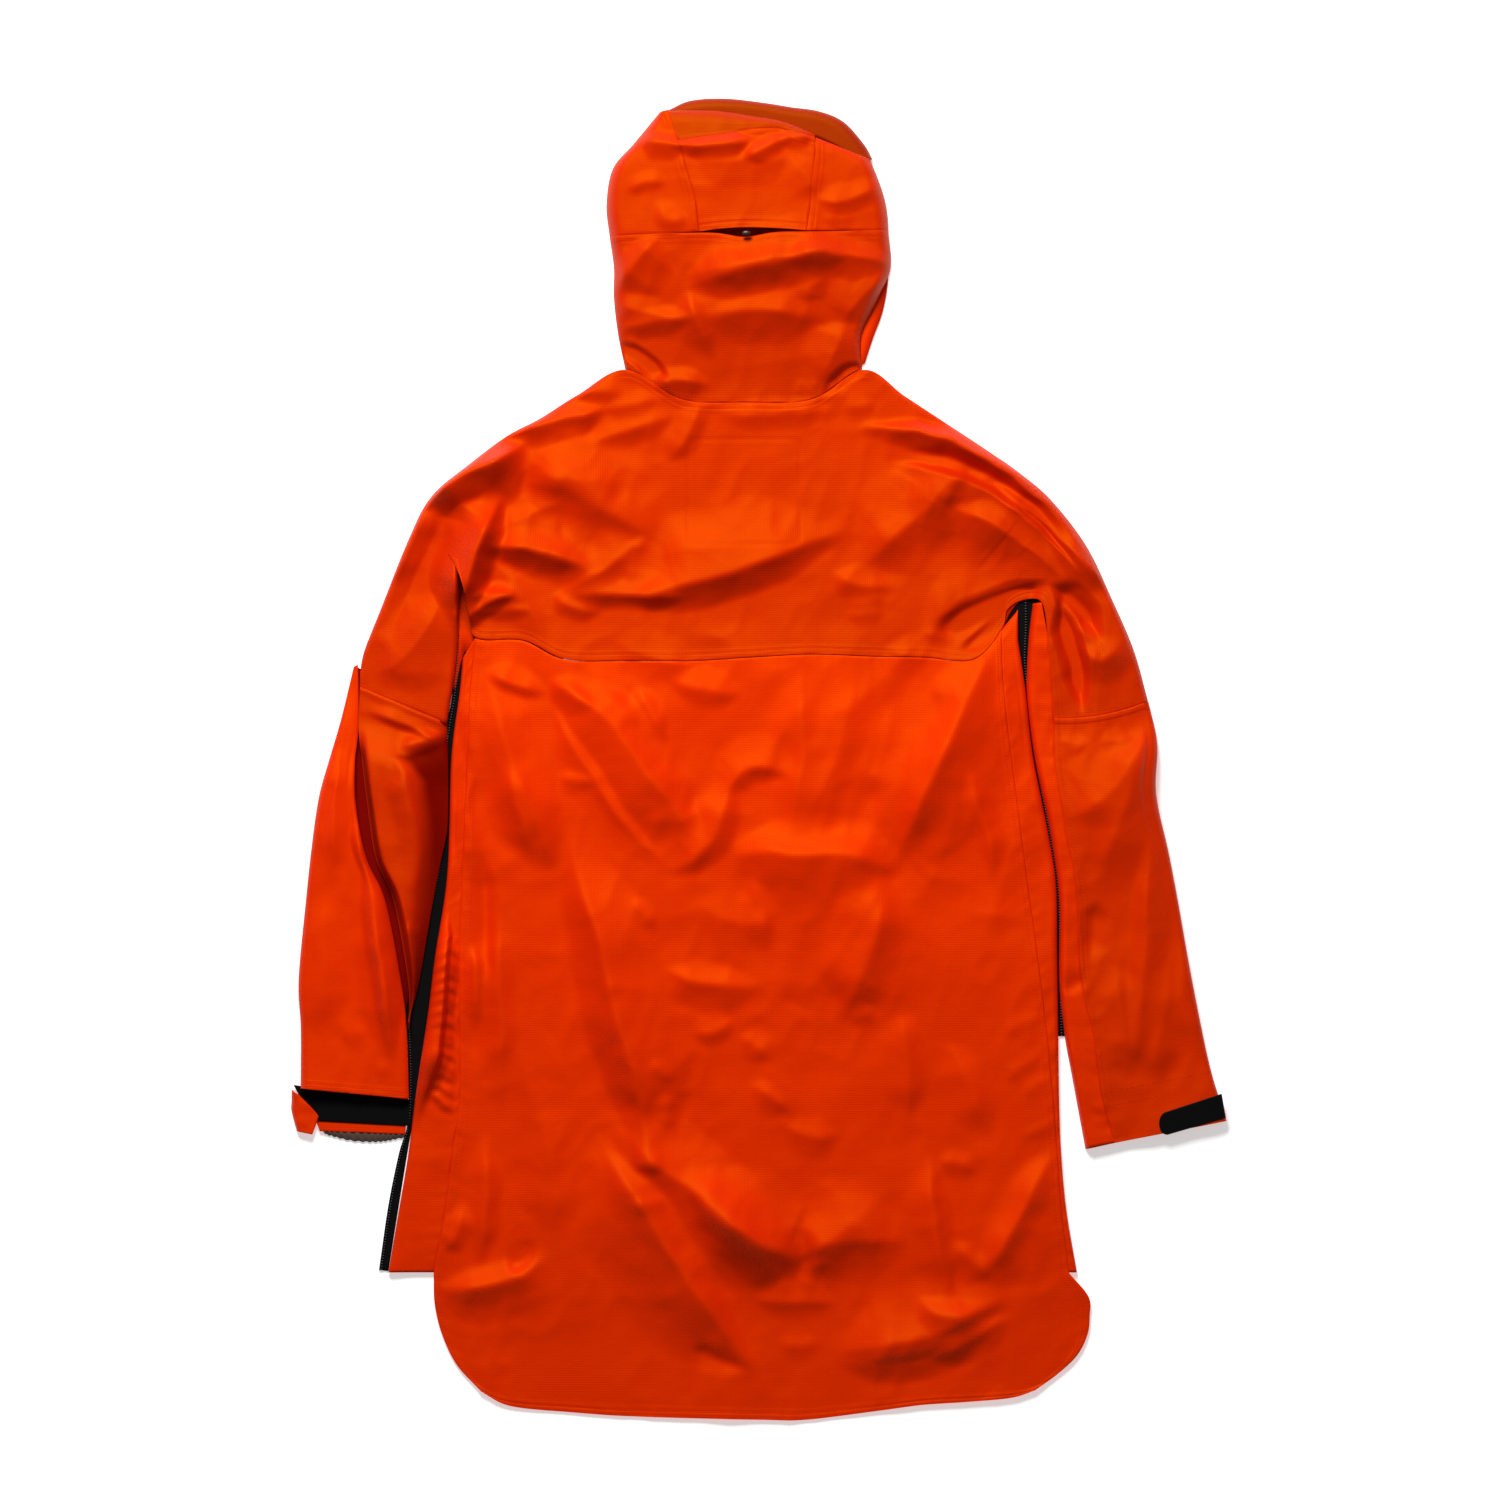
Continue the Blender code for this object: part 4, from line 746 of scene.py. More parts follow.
def add_node(tree, kind, links=None, **settings):
    """Adds one node.  Settings that name a socket set it, the others set the node itself."""
    node = tree.nodes.new(kind)
    for key, value in settings.items():
        if key in node.inputs:
            node.inputs[key].default_value = value
        else:
            setattr(node, key, value)
    for socket, source in (links or {}).items():
        tree.links.new(source, node.inputs[socket])
    return node


def maths(tree, operation, *terms):
    """Output of a node that works out one step from numbers and other nodes' outputs."""
    node = add_node(tree, "ShaderNodeMath", operation=operation)
    for socket, term in zip(node.inputs, terms):
        if isinstance(term, float):
            socket.default_value = term
        else:
            tree.links.new(term, socket)
    return node.outputs[0]


def shader_of(material):
    return material.node_tree.nodes["Principled BSDF"]


def new_material(name, **values):
    """Plain material.  In the name of a socket, an underscore stands for a space."""
    material = bpy.data.materials.new(name)
    material.use_nodes = True
    for socket, value in values.items():
        shader_of(material).inputs[socket.replace("_", " ")].default_value = value
    return material


# %% Shell: proofed plain-weave nylon
GLINT = "#FFC800"           # the proofing's soft gloss takes the dye's colour, a little yellower
GLOSS, NO_GLOSS = 0.45, 0.05
WEAVE_SHOWN = 2.2 * MM      # drawn thread pair, in place of the real half millimetre
WAVE_TURNS = 0.314          # a wave texture of this scale has one band a unit
CRUMPLE = 16 * MM           # size of the soft dents left by wear
DENT_DEEP, FRAME_DEEP, THREAD_DEEP = 2.2 * MM, 0.7 * MM, 0.25 * MM
DYE_SCALE, DYE_STOPS = 14.0, (0.35, 0.7)    # the dye's patches, and where they are full and faded


def bump(tree, height, strength, distance, under=None, **settings):
    """Normal of cloth that a height from 0 to 1 presses up, over the normal under it."""
    links = {"Height": height}
    if under is not None:
        links["Normal"] = under
    node = add_node(tree, "ShaderNodeBump", links, Strength=strength, Distance=distance, **settings)
    return node.outputs["Normal"]


def woven_bump(tree, shader, period, strength, under=None):
    """Two waves at right angles, multiplied: threads over and under each other."""
    place = add_node(tree, "ShaderNodeTexCoord").outputs["Object"]
    waves = [add_node(tree, "ShaderNodeTexWave", {"Vector": place}, wave_type="BANDS", bands_direction=way,
                      Scale=WAVE_TURNS / period, Distortion=0.6).outputs["Fac"] for way in ("X", "Y")]
    woven = bump(tree, maths(tree, "MULTIPLY", *waves), strength, THREAD_DEEP, under)
    tree.links.new(woven, shader.inputs["Normal"])


def pressed_frame(tree, place, mid_x, mid_y, half_x, half_y):
    """1 on the outline of a rectangle, 0 away from it: the cloth is pressed down there."""
    apart = add_node(tree, "ShaderNodeSeparateXYZ", {"Vector": place})
    past = []
    for axis, middle, half in (("X", mid_x, half_x), ("Y", mid_y, half_y)):
        away = maths(tree, "SUBTRACT", apart.outputs[axis], middle * MM)
        past.append(maths(tree, "SUBTRACT", maths(tree, "ABSOLUTE", away), half * MM))
    edge = maths(tree, "ABSOLUTE", maths(tree, "SMOOTH_MAX", *past, FRAME_ROUND * MM))
    ramp = add_node(tree, "ShaderNodeMapRange", {"Value": edge}, interpolation_type="SMOOTHSTEP",
                    **{"From Max": FRAME_LINE * MM, "To Min": 1.0, "To Max": 0.0})
    return ramp.outputs["Result"]


# middle and half size of the frames that show faintly below the neck, bare of any mark, mm
PRESSED_FRAMES = [(-14, 254, 53, 50)]
FRAME_ROUND, FRAME_LINE = 14, 4.5       # mm, its corners and half the width of its line


def proofed_nylon(name, colour, faded, frames=()):
    """Dyed cloth with a soft gloss: uneven dye, dents of wear, pressed frames, and the weave."""
    material = new_material(name, Roughness=0.6, IOR=1.5, Specular_IOR_Level=GLOSS,
                            Specular_Tint=linear(GLINT))
    tree, shader = material.node_tree, shader_of(material)
    place = add_node(tree, "ShaderNodeTexCoord").outputs["Object"]
    dye = add_node(tree, "ShaderNodeTexNoise", {"Vector": place}, Scale=DYE_SCALE, Detail=3.0)
    tone = add_node(tree, "ShaderNodeValToRGB", {"Fac": dye.outputs["Fac"]})
    for stop, position, shade in zip(tone.color_ramp.elements, DYE_STOPS, (colour, faded)):
        stop.position = position
        stop.color = linear(shade)
    tree.links.new(tone.outputs["Color"], shader.inputs["Base Color"])
    dents = add_node(tree, "ShaderNodeTexNoise", {"Vector": place}, Scale=1 / CRUMPLE / 3, Detail=4.0,
                     Roughness=0.55)
    under = bump(tree, dents.outputs["Fac"], 0.5, DENT_DEEP)
    for frame in frames:
        under = bump(tree, pressed_frame(tree, place, *frame), 0.35, FRAME_DEEP, under, invert=True)
    woven_bump(tree, shader, WEAVE_SHOWN, 0.35, under=under)
    return material


def paint_fold_shade(material, shade_colour):
    """Painted shade: where the piece's fold-shade attribute is 1, the cloth shows a dark colour without
    gloss, as deep in a fold.
    """
    tree, shader = material.node_tree, shader_of(material)
    share = add_node(tree, "ShaderNodeAttribute", attribute_name="painted_fold_shade").outputs["Fac"]
    dyed = shader.inputs["Base Color"].links[0].from_socket
    mixed = add_node(tree, "ShaderNodeMixRGB", {"Fac": share, "Color1": dyed}, Color2=linear(shade_colour))
    tree.links.new(mixed.outputs["Color"], shader.inputs["Base Color"])
    shine = add_node(tree, "ShaderNodeMapRange", {"Value": share}, **{"To Min": GLOSS, "To Max": NO_GLOSS})
    tree.links.new(shine.outputs["Result"], shader.inputs["Specular IOR Level"])


shell = proofed_nylon("proofed_nylon_orange", "#DF2200", "#E42400")
# The hood and the right sleeve take darker copies of the one shell cloth, matched to the light on them:
# painted shade.
hood_shell_painted_shade = proofed_nylon("proofed_nylon_hood_painted_shade", "#C01B00", "#C51C00")
sleeve_shell_painted_shade = proofed_nylon("proofed_nylon_sleeve_painted_shade", "#D02000", "#D52100")
# The left sleeve's lower lobe is a darker copy again, and near-black red deep in its fold: painted shade.
lobe_shell_painted_shade = proofed_nylon("proofed_nylon_lobe_painted_shade", "#C81D00", "#CC1F00")
paint_fold_shade(lobe_shell_painted_shade, "#6E0200")
# The crown's copy is darker still: painted shade.
crown_shell_painted_shade = proofed_nylon("proofed_nylon_crown_painted_shade", "#A81700", "#AD1800")
# Dark red for the left sleeve's floor layer, seen through the gap beside its crease: painted shade.
gap_shell_painted_shade = new_material("nylon_painted_shade_in_gap", Base_Color=linear("#7A0300"), Roughness=0.9,
                         Specular_IOR_Level=NO_GLOSS)
# The yoke and the brim take darker copies too, the brim darkest: painted shade.
yoke_shell_painted_shade = proofed_nylon("proofed_nylon_pressed_painted_shade", "#CA1E00", "#CF1F00", frames=PRESSED_FRAMES)
brim_shell_painted_shade = proofed_nylon("proofed_nylon_brim_painted_shade", "#8E1102", "#951303")

# %% Tapes, lining, thread and toggle
def loop_pile(name, colour, height):
    """Loop side of a hook-and-loop tape: fine nylon loops that drink the light."""
    material = new_material(name, Base_Color=linear(colour), Roughness=0.95, Sheen_Weight=0.04,
                            Sheen_Roughness=0.6, Specular_IOR_Level=NO_GLOSS)
    tree, shader = material.node_tree, shader_of(material)
    place = add_node(tree, "ShaderNodeTexCoord").outputs["Object"]
    pile = add_node(tree, "ShaderNodeTexNoise", {"Vector": place}, Scale=900.0, Detail=2.0)
    tree.links.new(bump(tree, pile.outputs["Fac"], 0.9, height), shader.inputs["Normal"])
    return material


def woven_tape(name, colour, roughness, period):
    material = new_material(name, Base_Color=linear(colour), Roughness=roughness, Specular_IOR_Level=0.1)
    woven_bump(material.node_tree, shader_of(material), period, 0.6)
    return material


hook_tape = loop_pile("nylon_loop_tape_black", "#050505", 0.5 * MM)
zip_tape = woven_tape("woven_polyester_tape_black", "#040404", 0.75, 1.6 * MM)
coil_nylon = new_material("moulded_nylon_coil_black", Base_Color=linear("#161617"), Roughness=0.38)
# The backing cloth is brown, and drawn darker than its own brown as painted shade of the shadow it lies in
# under the cuff.
lining = woven_tape("tricot_backing_brown_painted_shade", "#57463E", 0.8, 1.4 * MM)
thread = woven_tape("spun_polyester_thread_orange", "#D83403", 0.6, 1.0 * MM)
toggle = new_material("moulded_acetal_dark", Base_Color=linear("#2A1410"), Roughness=0.35)
print("materials:", sorted(m.name for m in bpy.data.materials if m.users))

# %% [markdown]
# ## Yoke
# The yoke and both upper sleeves are one cut, an arch from elbow seam to elbow seam.  Its
# outer side folds over the shoulders to the layer below, its inner side is the long seam
# across the back and, on the left, the free edge over the armhole.  A ruled grid between the
# two sides follows both.

# %% The yoke's lines and grid
YOKE_ROWS = [
    # outer_x, outer_y, inner_x, inner_y
    (-379, 68, -296, 33),      # 0 left elbow seam
    (-376, 99, -287, 95),
    (-357, 149, -284, 152),
    (-333, 209, -283, 188),    # 3 top of the left armhole slit
    (-312, 249, -278, 161),
    (-276, 280, -275, 135),
    (-240, 307, -267, 115),    # 6 left end of the yoke seam
    (-208, 324, -223, 113),
    (-173, 346, -183, 95),
    (-127, 370, -123, 94),     # 9 left end of the neck seam
    (-74, 342, -61, 94),
    (-13, 339, -9, 97),
    (50, 342, 50, 100),
    (100, 370, 110, 98),       # 13 right end of the neck seam
    (139, 345, 158, 97),
    (177, 320, 203, 95),
    (215, 295, 230, 123),      # 16 right end of the yoke seam
    (248, 272, 236, 142),
    (278, 246, 250, 151),
    (311, 203, 268, 149),      # 19 top of the under-sleeve
    (335, 153, 274, 114),
    (356, 104, 277, 71),
    (370, 54, 280, 38),        # 22 right elbow seam
]
YOKE_OUTER, YOKE_INNER = columns(YOKE_ROWS, 0), columns(YOKE_ROWS, 2)
SEAM_LEFT, NECK_LEFT, NECK_RIGHT, SEAM_RIGHT = 6, 9, 13, 16
ROW_LAST = len(YOKE_ROWS) - 1
ELBOW_BOW = 5.0         # how far the right elbow seam bows towards the cuff
# Where along the arch its form changes, in row numbers.
BOW_FROM = 20.5
NECK_ROLL = 2.0, 2.7    # away from the neck's middle, the outer side begins to fold
ELBOW_ROLL = 0.2, 1.3   # at the left elbow it begins too
SLIT_END = 4.6, 5.6     # the slit's free edge gives way to the seam
NECK_SOFT = 0.2         # the neck's turning fades out over this


def yoke_places(count):
    """Places along the arch, even by the mean length of its two sides."""
    outer = length_places(YOKE_OUTER, np.linspace(0, 1, count))
    inner = length_places(YOKE_INNER, np.linspace(0, 1, count))
    return (outer + inner) / 2


def yoke_grid(count, across):
    """The arch: a fold along its outer side, except at the neck, and a free edge at the slit."""
    places = yoke_places(count)
    outer, inner = smooth_curve(YOKE_OUTER, places), smooth_curve(YOKE_INNER, places)
    width, _ = span(outer, inner)
    depths = edge_depths(width, across)
    shares = depths / width[:, None]
    plan = ruled_plan(outer, inner, shares)
    plan[..., 1] -= ELBOW_BOW * 4 * shares * (1 - shares) * ease(places, BOW_FROM, ROW_LAST)[:, None]
    grid = raise_plan(plan)
    from_neck = np.abs(places - (NECK_LEFT + NECK_RIGHT) / 2)
    outer_roll = ease(from_neck, *NECK_ROLL) * ease(places, *ELBOW_ROLL)
    inner_roll = 1 - ease(places, *SLIT_END)
    edge_in = round_over(depths, EDGE_RADIUS)
    slit_in = round_over(width[:, None] - depths, EDGE_RADIUS)
    outward = grid[..., 2] * (1 - outer_roll[:, None] * (1 - edge_in))
    lowered = outward * slit_in + SLIT_REST * (1 - slit_in)
    grid[..., 2] = outward * (1 - inner_roll[:, None]) + lowered * inner_roll[:, None]
    over_layer = (places[:, None] < SEAM_LEFT + 1) & (shares > 0.5)
    over_layer |= places[:, None] < ELBOW_ROLL[1]
    grid[..., 2] = np.where(over_layer, np.maximum(grid[..., 2], SLIT_REST), grid[..., 2])
    return grid, places


# %% Make the yoke
yoke_cloth, places = yoke_grid(330, 82)
yoke_flat = yoke_cloth.copy()
sew_border(yoke_cloth, "last_column", "lap", pucker=0.35, seed=21)
neck = ease(places, NECK_LEFT - NECK_SOFT, NECK_LEFT)
neck = neck * (1 - ease(places, NECK_RIGHT, NECK_RIGHT + NECK_SOFT))
tucked = sew_border(yoke_flat.copy(), "first_column", "lap", pucker=0.5, seed=22) - yoke_flat
yoke_cloth += tucked * neck[:, None, None]
sew_borders(yoke_cloth, 23, 0.4, first_row="under", last_row="under")
sew_panel("yoke", yoke_cloth, yoke_shell_painted_shade)

# %% [markdown]
# ## Back
# One large panel from the yoke seam to the drop tail.  Its top edge is the yoke's own seam
# line, its sides are the side seams down to the front's hem, and below that it lies on the
# floor with a rounded, stitched hem.

# %% Make the back
BODY_ROWS = [
    # height of the row down the coat, then its four corners across
    # row_y, left_edge, left_seam, right_seam, right_edge
    (114, -280, -269, 230, 246),
    (66, -284, -274, 232, 253),
    (4, -292, -277, 239, 260),
    (-67, -294, -280, 248, 274),
    (-119, -297, -282, 255, 282),
    (-185, -307, -284, 264, 283),
    (-241, -314, -284, 271, 284),
    (-320, -326, -284, 279, 285),
    (-374, -333, -291, 283, 287),
    (-428, -342, -298, 287, 292),
    (-487, -352, -309, 294, 302),
]
BACK_LEFT = [(-309, -487), (-308, -517), (-301, -546), (-287, -575), (-264, -600)]
BACK_RIGHT = [(294, -487), (313, -510), (314, -528), (312, -546), (302, -566), (283, -584), (262, -599)]
BACK_HEM = [(-264, -600), (-236, -614), (-178, -620), (-116, -624), (1, -627), (45, -627),
            (110, -619), (154, -613), (198, -610), (240, -606), (262, -599)]
LEFT_EDGE, LEFT_SEAM, RIGHT_SEAM, RIGHT_EDGE = 1, 2, 3, 4
FRONT_HEM = BODY_ROWS[-1][0]


def body_line(corner, heights):
    """Plan points of one of the body's four long lines at given heights down the coat."""
    table = np.array(BODY_ROWS, float)
    fine = smooth_curve(table[:, [corner, 0]], np.linspace(0, len(table) - 1, 400))
    return np.column_stack([np.interp(-heights, -fine[:, 1], fine[:, 0]), heights])


def edge_shares(length, count):
    return edge_depths([length], count)[0] / length


def back_side(corner, start, tail, shares):
    """Side seam from the yoke to the front's hem, then the tail's edge, by shares of length."""
    seam = body_line(corner, np.linspace(start[1], FRONT_HEM, 80))
    tail_line = smooth_curve(tail, np.linspace(0, len(tail) - 1, 60))
    line = np.vstack([seam, tail_line[1:]])
    walked = walked_along(line)
    return at_lengths(line, walked, shares * walked[-1])


across, down = edge_shares(510, 178), edge_shares(720, 202)
top = even_curve(YOKE_INNER, across, SEAM_LEFT, SEAM_RIGHT)
bottom = even_curve(BACK_HEM, across)
left = back_side(LEFT_SEAM, top[0], BACK_LEFT, down)
right = back_side(RIGHT_SEAM, top[-1], BACK_RIGHT, down)
back_cloth = raise_plan(coons_plan(top, bottom, left, right, across, down))
sew_borders(back_cloth, 31, 0.45, first_row="tuck", first_column="lap", last_column="lap")
sew_border(back_cloth, "last_row", "hem", pucker=0.25, seed=34)
sew_panel("back", back_cloth, shell)

# %% [markdown]
# ## Front
# The front shows only as a strip beside each side seam: it comes up from the floor, round
# the folded sides, to the back's seams.  Its grid runs across in the same way, over one
# strip, round its fold, along the floor and up the other side.

# %% Make the front
UNDERYOKE_LEFT = [(-297, 35), (-287, 66), (-284, 83), (-281, 96), (-278, 101), (-274, 97)]
UNDERYOKE_RIGHT = [(228, 102), (235, 131), (250, 151), (268, 149), (274, 114), (277, 71), (280, 38)]
WAIST = 94              # height down the coat where the layer on the floor is joined
ONE_SIDE = np.array([0.0])      # no close grid lines beside this edge
TURN_STEPS, FLOOR_STEPS = 5, 5  # grid lines round the fold, and along the floor
UPPER = slice(0, -TURN_STEPS - FLOOR_STEPS)     # the columns on top
LEVEL_IN = 4.0          # how far in from the fold its height is read
MOST_REACH = 0.45       # the fold takes no more than this share of the width


def wrap_grid(top, edge, floor_end, extra, count):
    """Grid that runs over the top from a seam to a folded edge, round it, and along the floor.

    The fold is a half circle as high as the cloth is there.
    """
    width, out = span(top, edge)
    inside = edge - out * LEVEL_IN
    height = cloth_height(inside[:, 0], inside[:, 1]) + extra
    reach = np.minimum(height / 2, MOST_REACH * width)
    run = (width - reach)[:, None]
    depths = edge_depths(width, count, end_near=ONE_SIDE)
    shares = depths / depths[:, -1:]
    plan = top[:, None] + out[:, None] * (shares * run)[..., None]
    rise = cloth_height(plan[..., 0], plan[..., 1]) + np.reshape(extra, (-1, 1))
    near_fold = ease(shares * run, run - EDGE_RADIUS, run)
    parts = [with_height(plan, rise * (1 - near_fold) + height[:, None] * near_fold)]
    for turn in np.linspace(math.pi / 2, -math.pi / 2, TURN_STEPS + 2)[1:-1]:
        point = edge - out * (reach * (1 - math.cos(turn)))[:, None]
        parts.append(np.column_stack([point, height / 2 * (1 + math.sin(turn))])[:, None])
    start = edge - out * reach[:, None]
    parts.append(with_height(ruled_plan(start, floor_end, np.linspace(0, 1, FLOOR_STEPS)), 0.0))
    return np.concatenate(parts, axis=1)


share = np.linspace(0, 1, 200)
tops = {LEFT_EDGE: UNDERYOKE_LEFT[3][1], LEFT_SEAM: YOKE_INNER[SEAM_LEFT][1],
        RIGHT_SEAM: YOKE_INNER[SEAM_RIGHT][1], RIGHT_EDGE: YOKE_INNER[SEAM_RIGHT + 1][1]}
lines = {corner: body_line(corner, top_y * (1 - share) + FRONT_HEM * share)
         for corner, top_y in tops.items()}
middle = (lines[LEFT_EDGE] + lines[RIGHT_EDGE]) / 2
strips = [wrap_grid(lines[seam], lines[edge], middle, 0.0, 12)
          for seam, edge in ((LEFT_SEAM, LEFT_EDGE), (RIGHT_SEAM, RIGHT_EDGE))]
front_cloth = np.concatenate([strips[0], strips[1][:, -2::-1]], axis=1)
joined = strips[0].shape[1]
floor_columns = slice(joined - FLOOR_STEPS, joined + FLOOR_STEPS - 1)
front_cloth[:, floor_columns, 1] = ((WAIST - 0.5) * (1 - share) + FRONT_HEM * share)[:, None]
sew_borders(front_cloth, 41, 0.5, first_column="tuck", last_column="tuck")
sew_panel("front", front_cloth, shell, thickness=0.7)

# %% [markdown]
# ## The hidden front of the yoke
# It lies flat on the floor under the yoke and shows nowhere, so it is finished plainly.

# %% Make the front of the yoke
OUTER_INSET, INNER_INSET = 3.5, 1.5     # how far it stays in from the yoke's two sides
UNDER_HEIGHT = 1.5      # of a hidden layer's upper face over the floor


def front_yoke_grid(count):
    places = np.linspace(1, ROW_LAST - 0.5, count)
    waist = [(x, WAIST) for x in YOKE_INNER[SEAM_LEFT:SEAM_RIGHT, 0]]
    inner_points = np.vstack([UNDERYOKE_LEFT, waist, UNDERYOKE_RIGHT])
    outer, inner = smooth_curve(YOKE_OUTER, places), smooth_curve(inner_points, places)
    _, inward = span(outer, inner)
    plan = ruled_plan(outer + inward * OUTER_INSET, inner - inward * INNER_INSET, np.linspace(0, 1, 9))
    return with_height(plan, UNDER_HEIGHT)


sew_panel("front_yoke", front_yoke_grid(90), shell)

# %% [markdown]
# ## Right sleeve
# Below the elbow seam a sleeve is two cuts: the forearm, which wraps the outside and the
# floor, and a narrow under-sleeve along the inside.

# %% The right sleeve's lines, and a rolled edge
RIGHT_SLEEVE_ROWS = [
    # fold_x, fold_y, seam_x, seam_y, outer_x, outer_y, from the elbow to the cuff
    (256, 41, 280, 38, 370, 54),
    (263, -6, 281, -6, 378, 15),
    (276, -68, 291, -68, 377, -33),
    (285, -133, 302, -132, 389, -89),
    (285, -209, 306, -209, 398, -136),
    (290, -261, 317, -261, 411, -209),
    (297, -300, 325, -315, 428, -291),
    (310, -370, 337, -364, 444, -343),
]
UNDERSLEEVE_TOP = [(260, 148, 268, 149), (256, 114, 274, 114), (254, 71, 277, 71)]
SLEEVE_LIFT, LIFT_ROWS = 3.0, 2.0       # the sleeve lies this much higher, from so many rows down
BOW_ROWS = 1.6          # rows over which the elbow seam's bow dies away
YOKE_LAP = 1.4          # how far the sleeve's edge laps over the yoke
FLOOR_INSET = 2.7
ROLL_SHARES = np.array([0.0, 0.02, 0.08, 0.18, 0.32, 0.5, 0.72, 1.0])   # of a radius, in from a fold


def edge_rolled(side_a, side_b, radius, count, rest=0.0, extra=0.0):
    """Raised grid whose first side is a folded edge that rounds down to its rest height."""
    width = span(side_a, side_b)[0][:, None]
    own_radius = np.minimum(radius, 0.6 * width)
    near = ROLL_SHARES[None] * own_radius
    share = np.linspace(0, 1, count + 2)[None, 1:-1]
    far = width - NEAR[None, ::-1] * np.minimum(1.0, 0.3 * width / NEAR[-1])
    middle = near[:, -1:] * (1 - share) + far[:, :1] * share
    depths = np.hstack([near, middle, far])
    grid = raise_plan(ruled_plan(side_a, side_b, depths / width), extra)
    rounded = round_over(depths, own_radius)
    grid[..., 2] = grid[..., 2] * rounded + rest * (1 - rounded)
    return grid


# %% Make the right forearm and its under-sleeve
fold, seam = (np.vstack([columns(UNDERSLEEVE_TOP, k), columns(RIGHT_SLEEVE_ROWS, k)]) for k in (0, 2))
outer = columns(RIGHT_SLEEVE_ROWS, 4)
start, end = len(UNDERSLEEVE_TOP), len(seam) - 1
places = start + (end - start) * edge_shares(420, 112)
seam_line, fold_line = smooth_curve(seam, places), smooth_curve(fold, places)
outer_line = smooth_curve(outer, places - start)
_, inward = span(fold_line, outer_line)
width, _ = span(seam_line, outer_line)
lift = SLEEVE_LIFT * ease(places, start, start + LIFT_ROWS)
grid = wrap_grid(seam_line, outer_line, fold_line + inward * FLOOR_INSET, lift, 34)
reached = np.linalg.norm(grid[:, UPPER, :2] - seam_line[:, None], axis=2) / width[:, None]
bowed = (1 - ease(places, start, start + BOW_ROWS))[:, None]
grid[:, UPPER, 1] -= ELBOW_BOW * 4 * reached * (1 - reached) * bowed
grid[0, UPPER, 1] += YOKE_LAP
sew_borders(grid, 51, 0.5, first_row="step", first_column="lap")
sleeve_right_cloth = grid
sew_panel("sleeve_right", grid, sleeve_shell_painted_shade)

places = np.linspace(0, end, 170)
lift = SLEEVE_LIFT * ease(places, start, start + LIFT_ROWS)[:, None]
grid = edge_rolled(smooth_curve(fold, places), smooth_curve(seam, places), EDGE_RADIUS, 3, extra=lift)
sew_border(grid, "last_column", "tuck", pucker=0.5, seed=53)
sew_panel("undersleeve_right", grid, shell)

# %% [markdown]
# ## Left sleeve
# Seen from the back, the left forearm has a long crease from the elbow down: the cloth
# outside it is one lobe, and the under-sleeve inside it is another that lies on top.

# %% The left sleeve's lines
LEFT_SLEEVE_ROWS = [
    # outer_x, outer_y, crease_x, crease_y, inner_x, inner_y, from the elbow to the cuff
    (-385, 88, -381, 90, -296, 33),
    (-397, 38, -380, 30, -295, 7),
    (-408, 0, -383, -2, -295, -29),
    (-418, -37, -382, -44, -296, -67),
    (-425, -86, -372, -94, -303, -101),
    (-430, -133, -354, -135, -310, -138),
    (-437, -209, -339, -213, -323, -213),
    (-435, -254, -334, -257, -332, -246),
    (-435, -312, -332, -322, -332, -246),
]

# %% Make the left forearm
CREASE_RADIUS, CREASE_DROP = 9.0, 0.4       # how the forearm's cloth sinks beside the crease
FOREARM_LIFT, FOREARM_ROWS = 7.0, (0.0, 4.0)        # the forearm lies this much higher, from row to row
ELBOW_SHARE, ELBOW_ROWS = 0.3, (0.0, 1.2)           # share of its height that it has at the elbow
outer, crease, inner = (columns(LEFT_SLEEVE_ROWS, k) for k in (0, 2, 4))
places = (len(LEFT_SLEEVE_ROWS) - 1) * edge_shares(400, 108)
outer_line, crease_line, inner_line = (smooth_curve(side, places) for side in (outer, crease, inner))
_, inward = span(outer_line, inner_line)
grid = wrap_grid(crease_line, outer_line, inner_line - inward * 2 * FLOOR_INSET,
                 FOREARM_LIFT * ease(places, *FOREARM_ROWS), 26)
from_crease = np.linalg.norm(grid[:, UPPER, :2] - crease_line[:, None], axis=2)
grid[:, UPPER, 2] *= 1 - CREASE_DROP * (1 - round_over(from_crease, CREASE_RADIUS))
grid[..., 2] *= (ELBOW_SHARE + (1 - ELBOW_SHARE) * ease(places, *ELBOW_ROWS))[:, None]
sew_border(grid, "last_row", "lap", pucker=0.4, seed=61)
sleeve_left_cloth = grid
sleeve_left = sew_panel("sleeve_left", grid, shell)
# Painted shade: the faces on the floor take the dark red, where they show through the gap.
sleeve_left.data.materials.append(gap_shell_painted_shade)
on_floor = np.arange(grid.shape[1] - 1) >= grid.shape[1] - FLOOR_STEPS - 1
sleeve_left.data.polygons.foreach_set("material_index", np.tile(on_floor, grid.shape[0] - 1).astype(int))

# %% Make the left under-sleeve
CREASE_DEPTH = 9.0      # how far in the lower lobe has risen
CREASE_GAPS = [0, 6, 10, 8, 7, 6, 1]        # gap between crease and lower lobe, row by row, mm
LOBE_REST, LOBE_LOWER, LOBE_RISE, LOBE_RADIUS = 3.9, 3.5, 18.0, 14.0
LOWER_ROWS, RISE_ROWS = (0.3, 2.0), (0.6, 2.0)      # rows over which the lobe gets lower and higher
LOBE_LAP = (0.5, 1.3)   # how far its edge laps over the yoke
LOBE_START, LOBE_END, LOBE_SUNK = 0.25, 1.1, 0.97       # shares of its width where it sinks, by how much
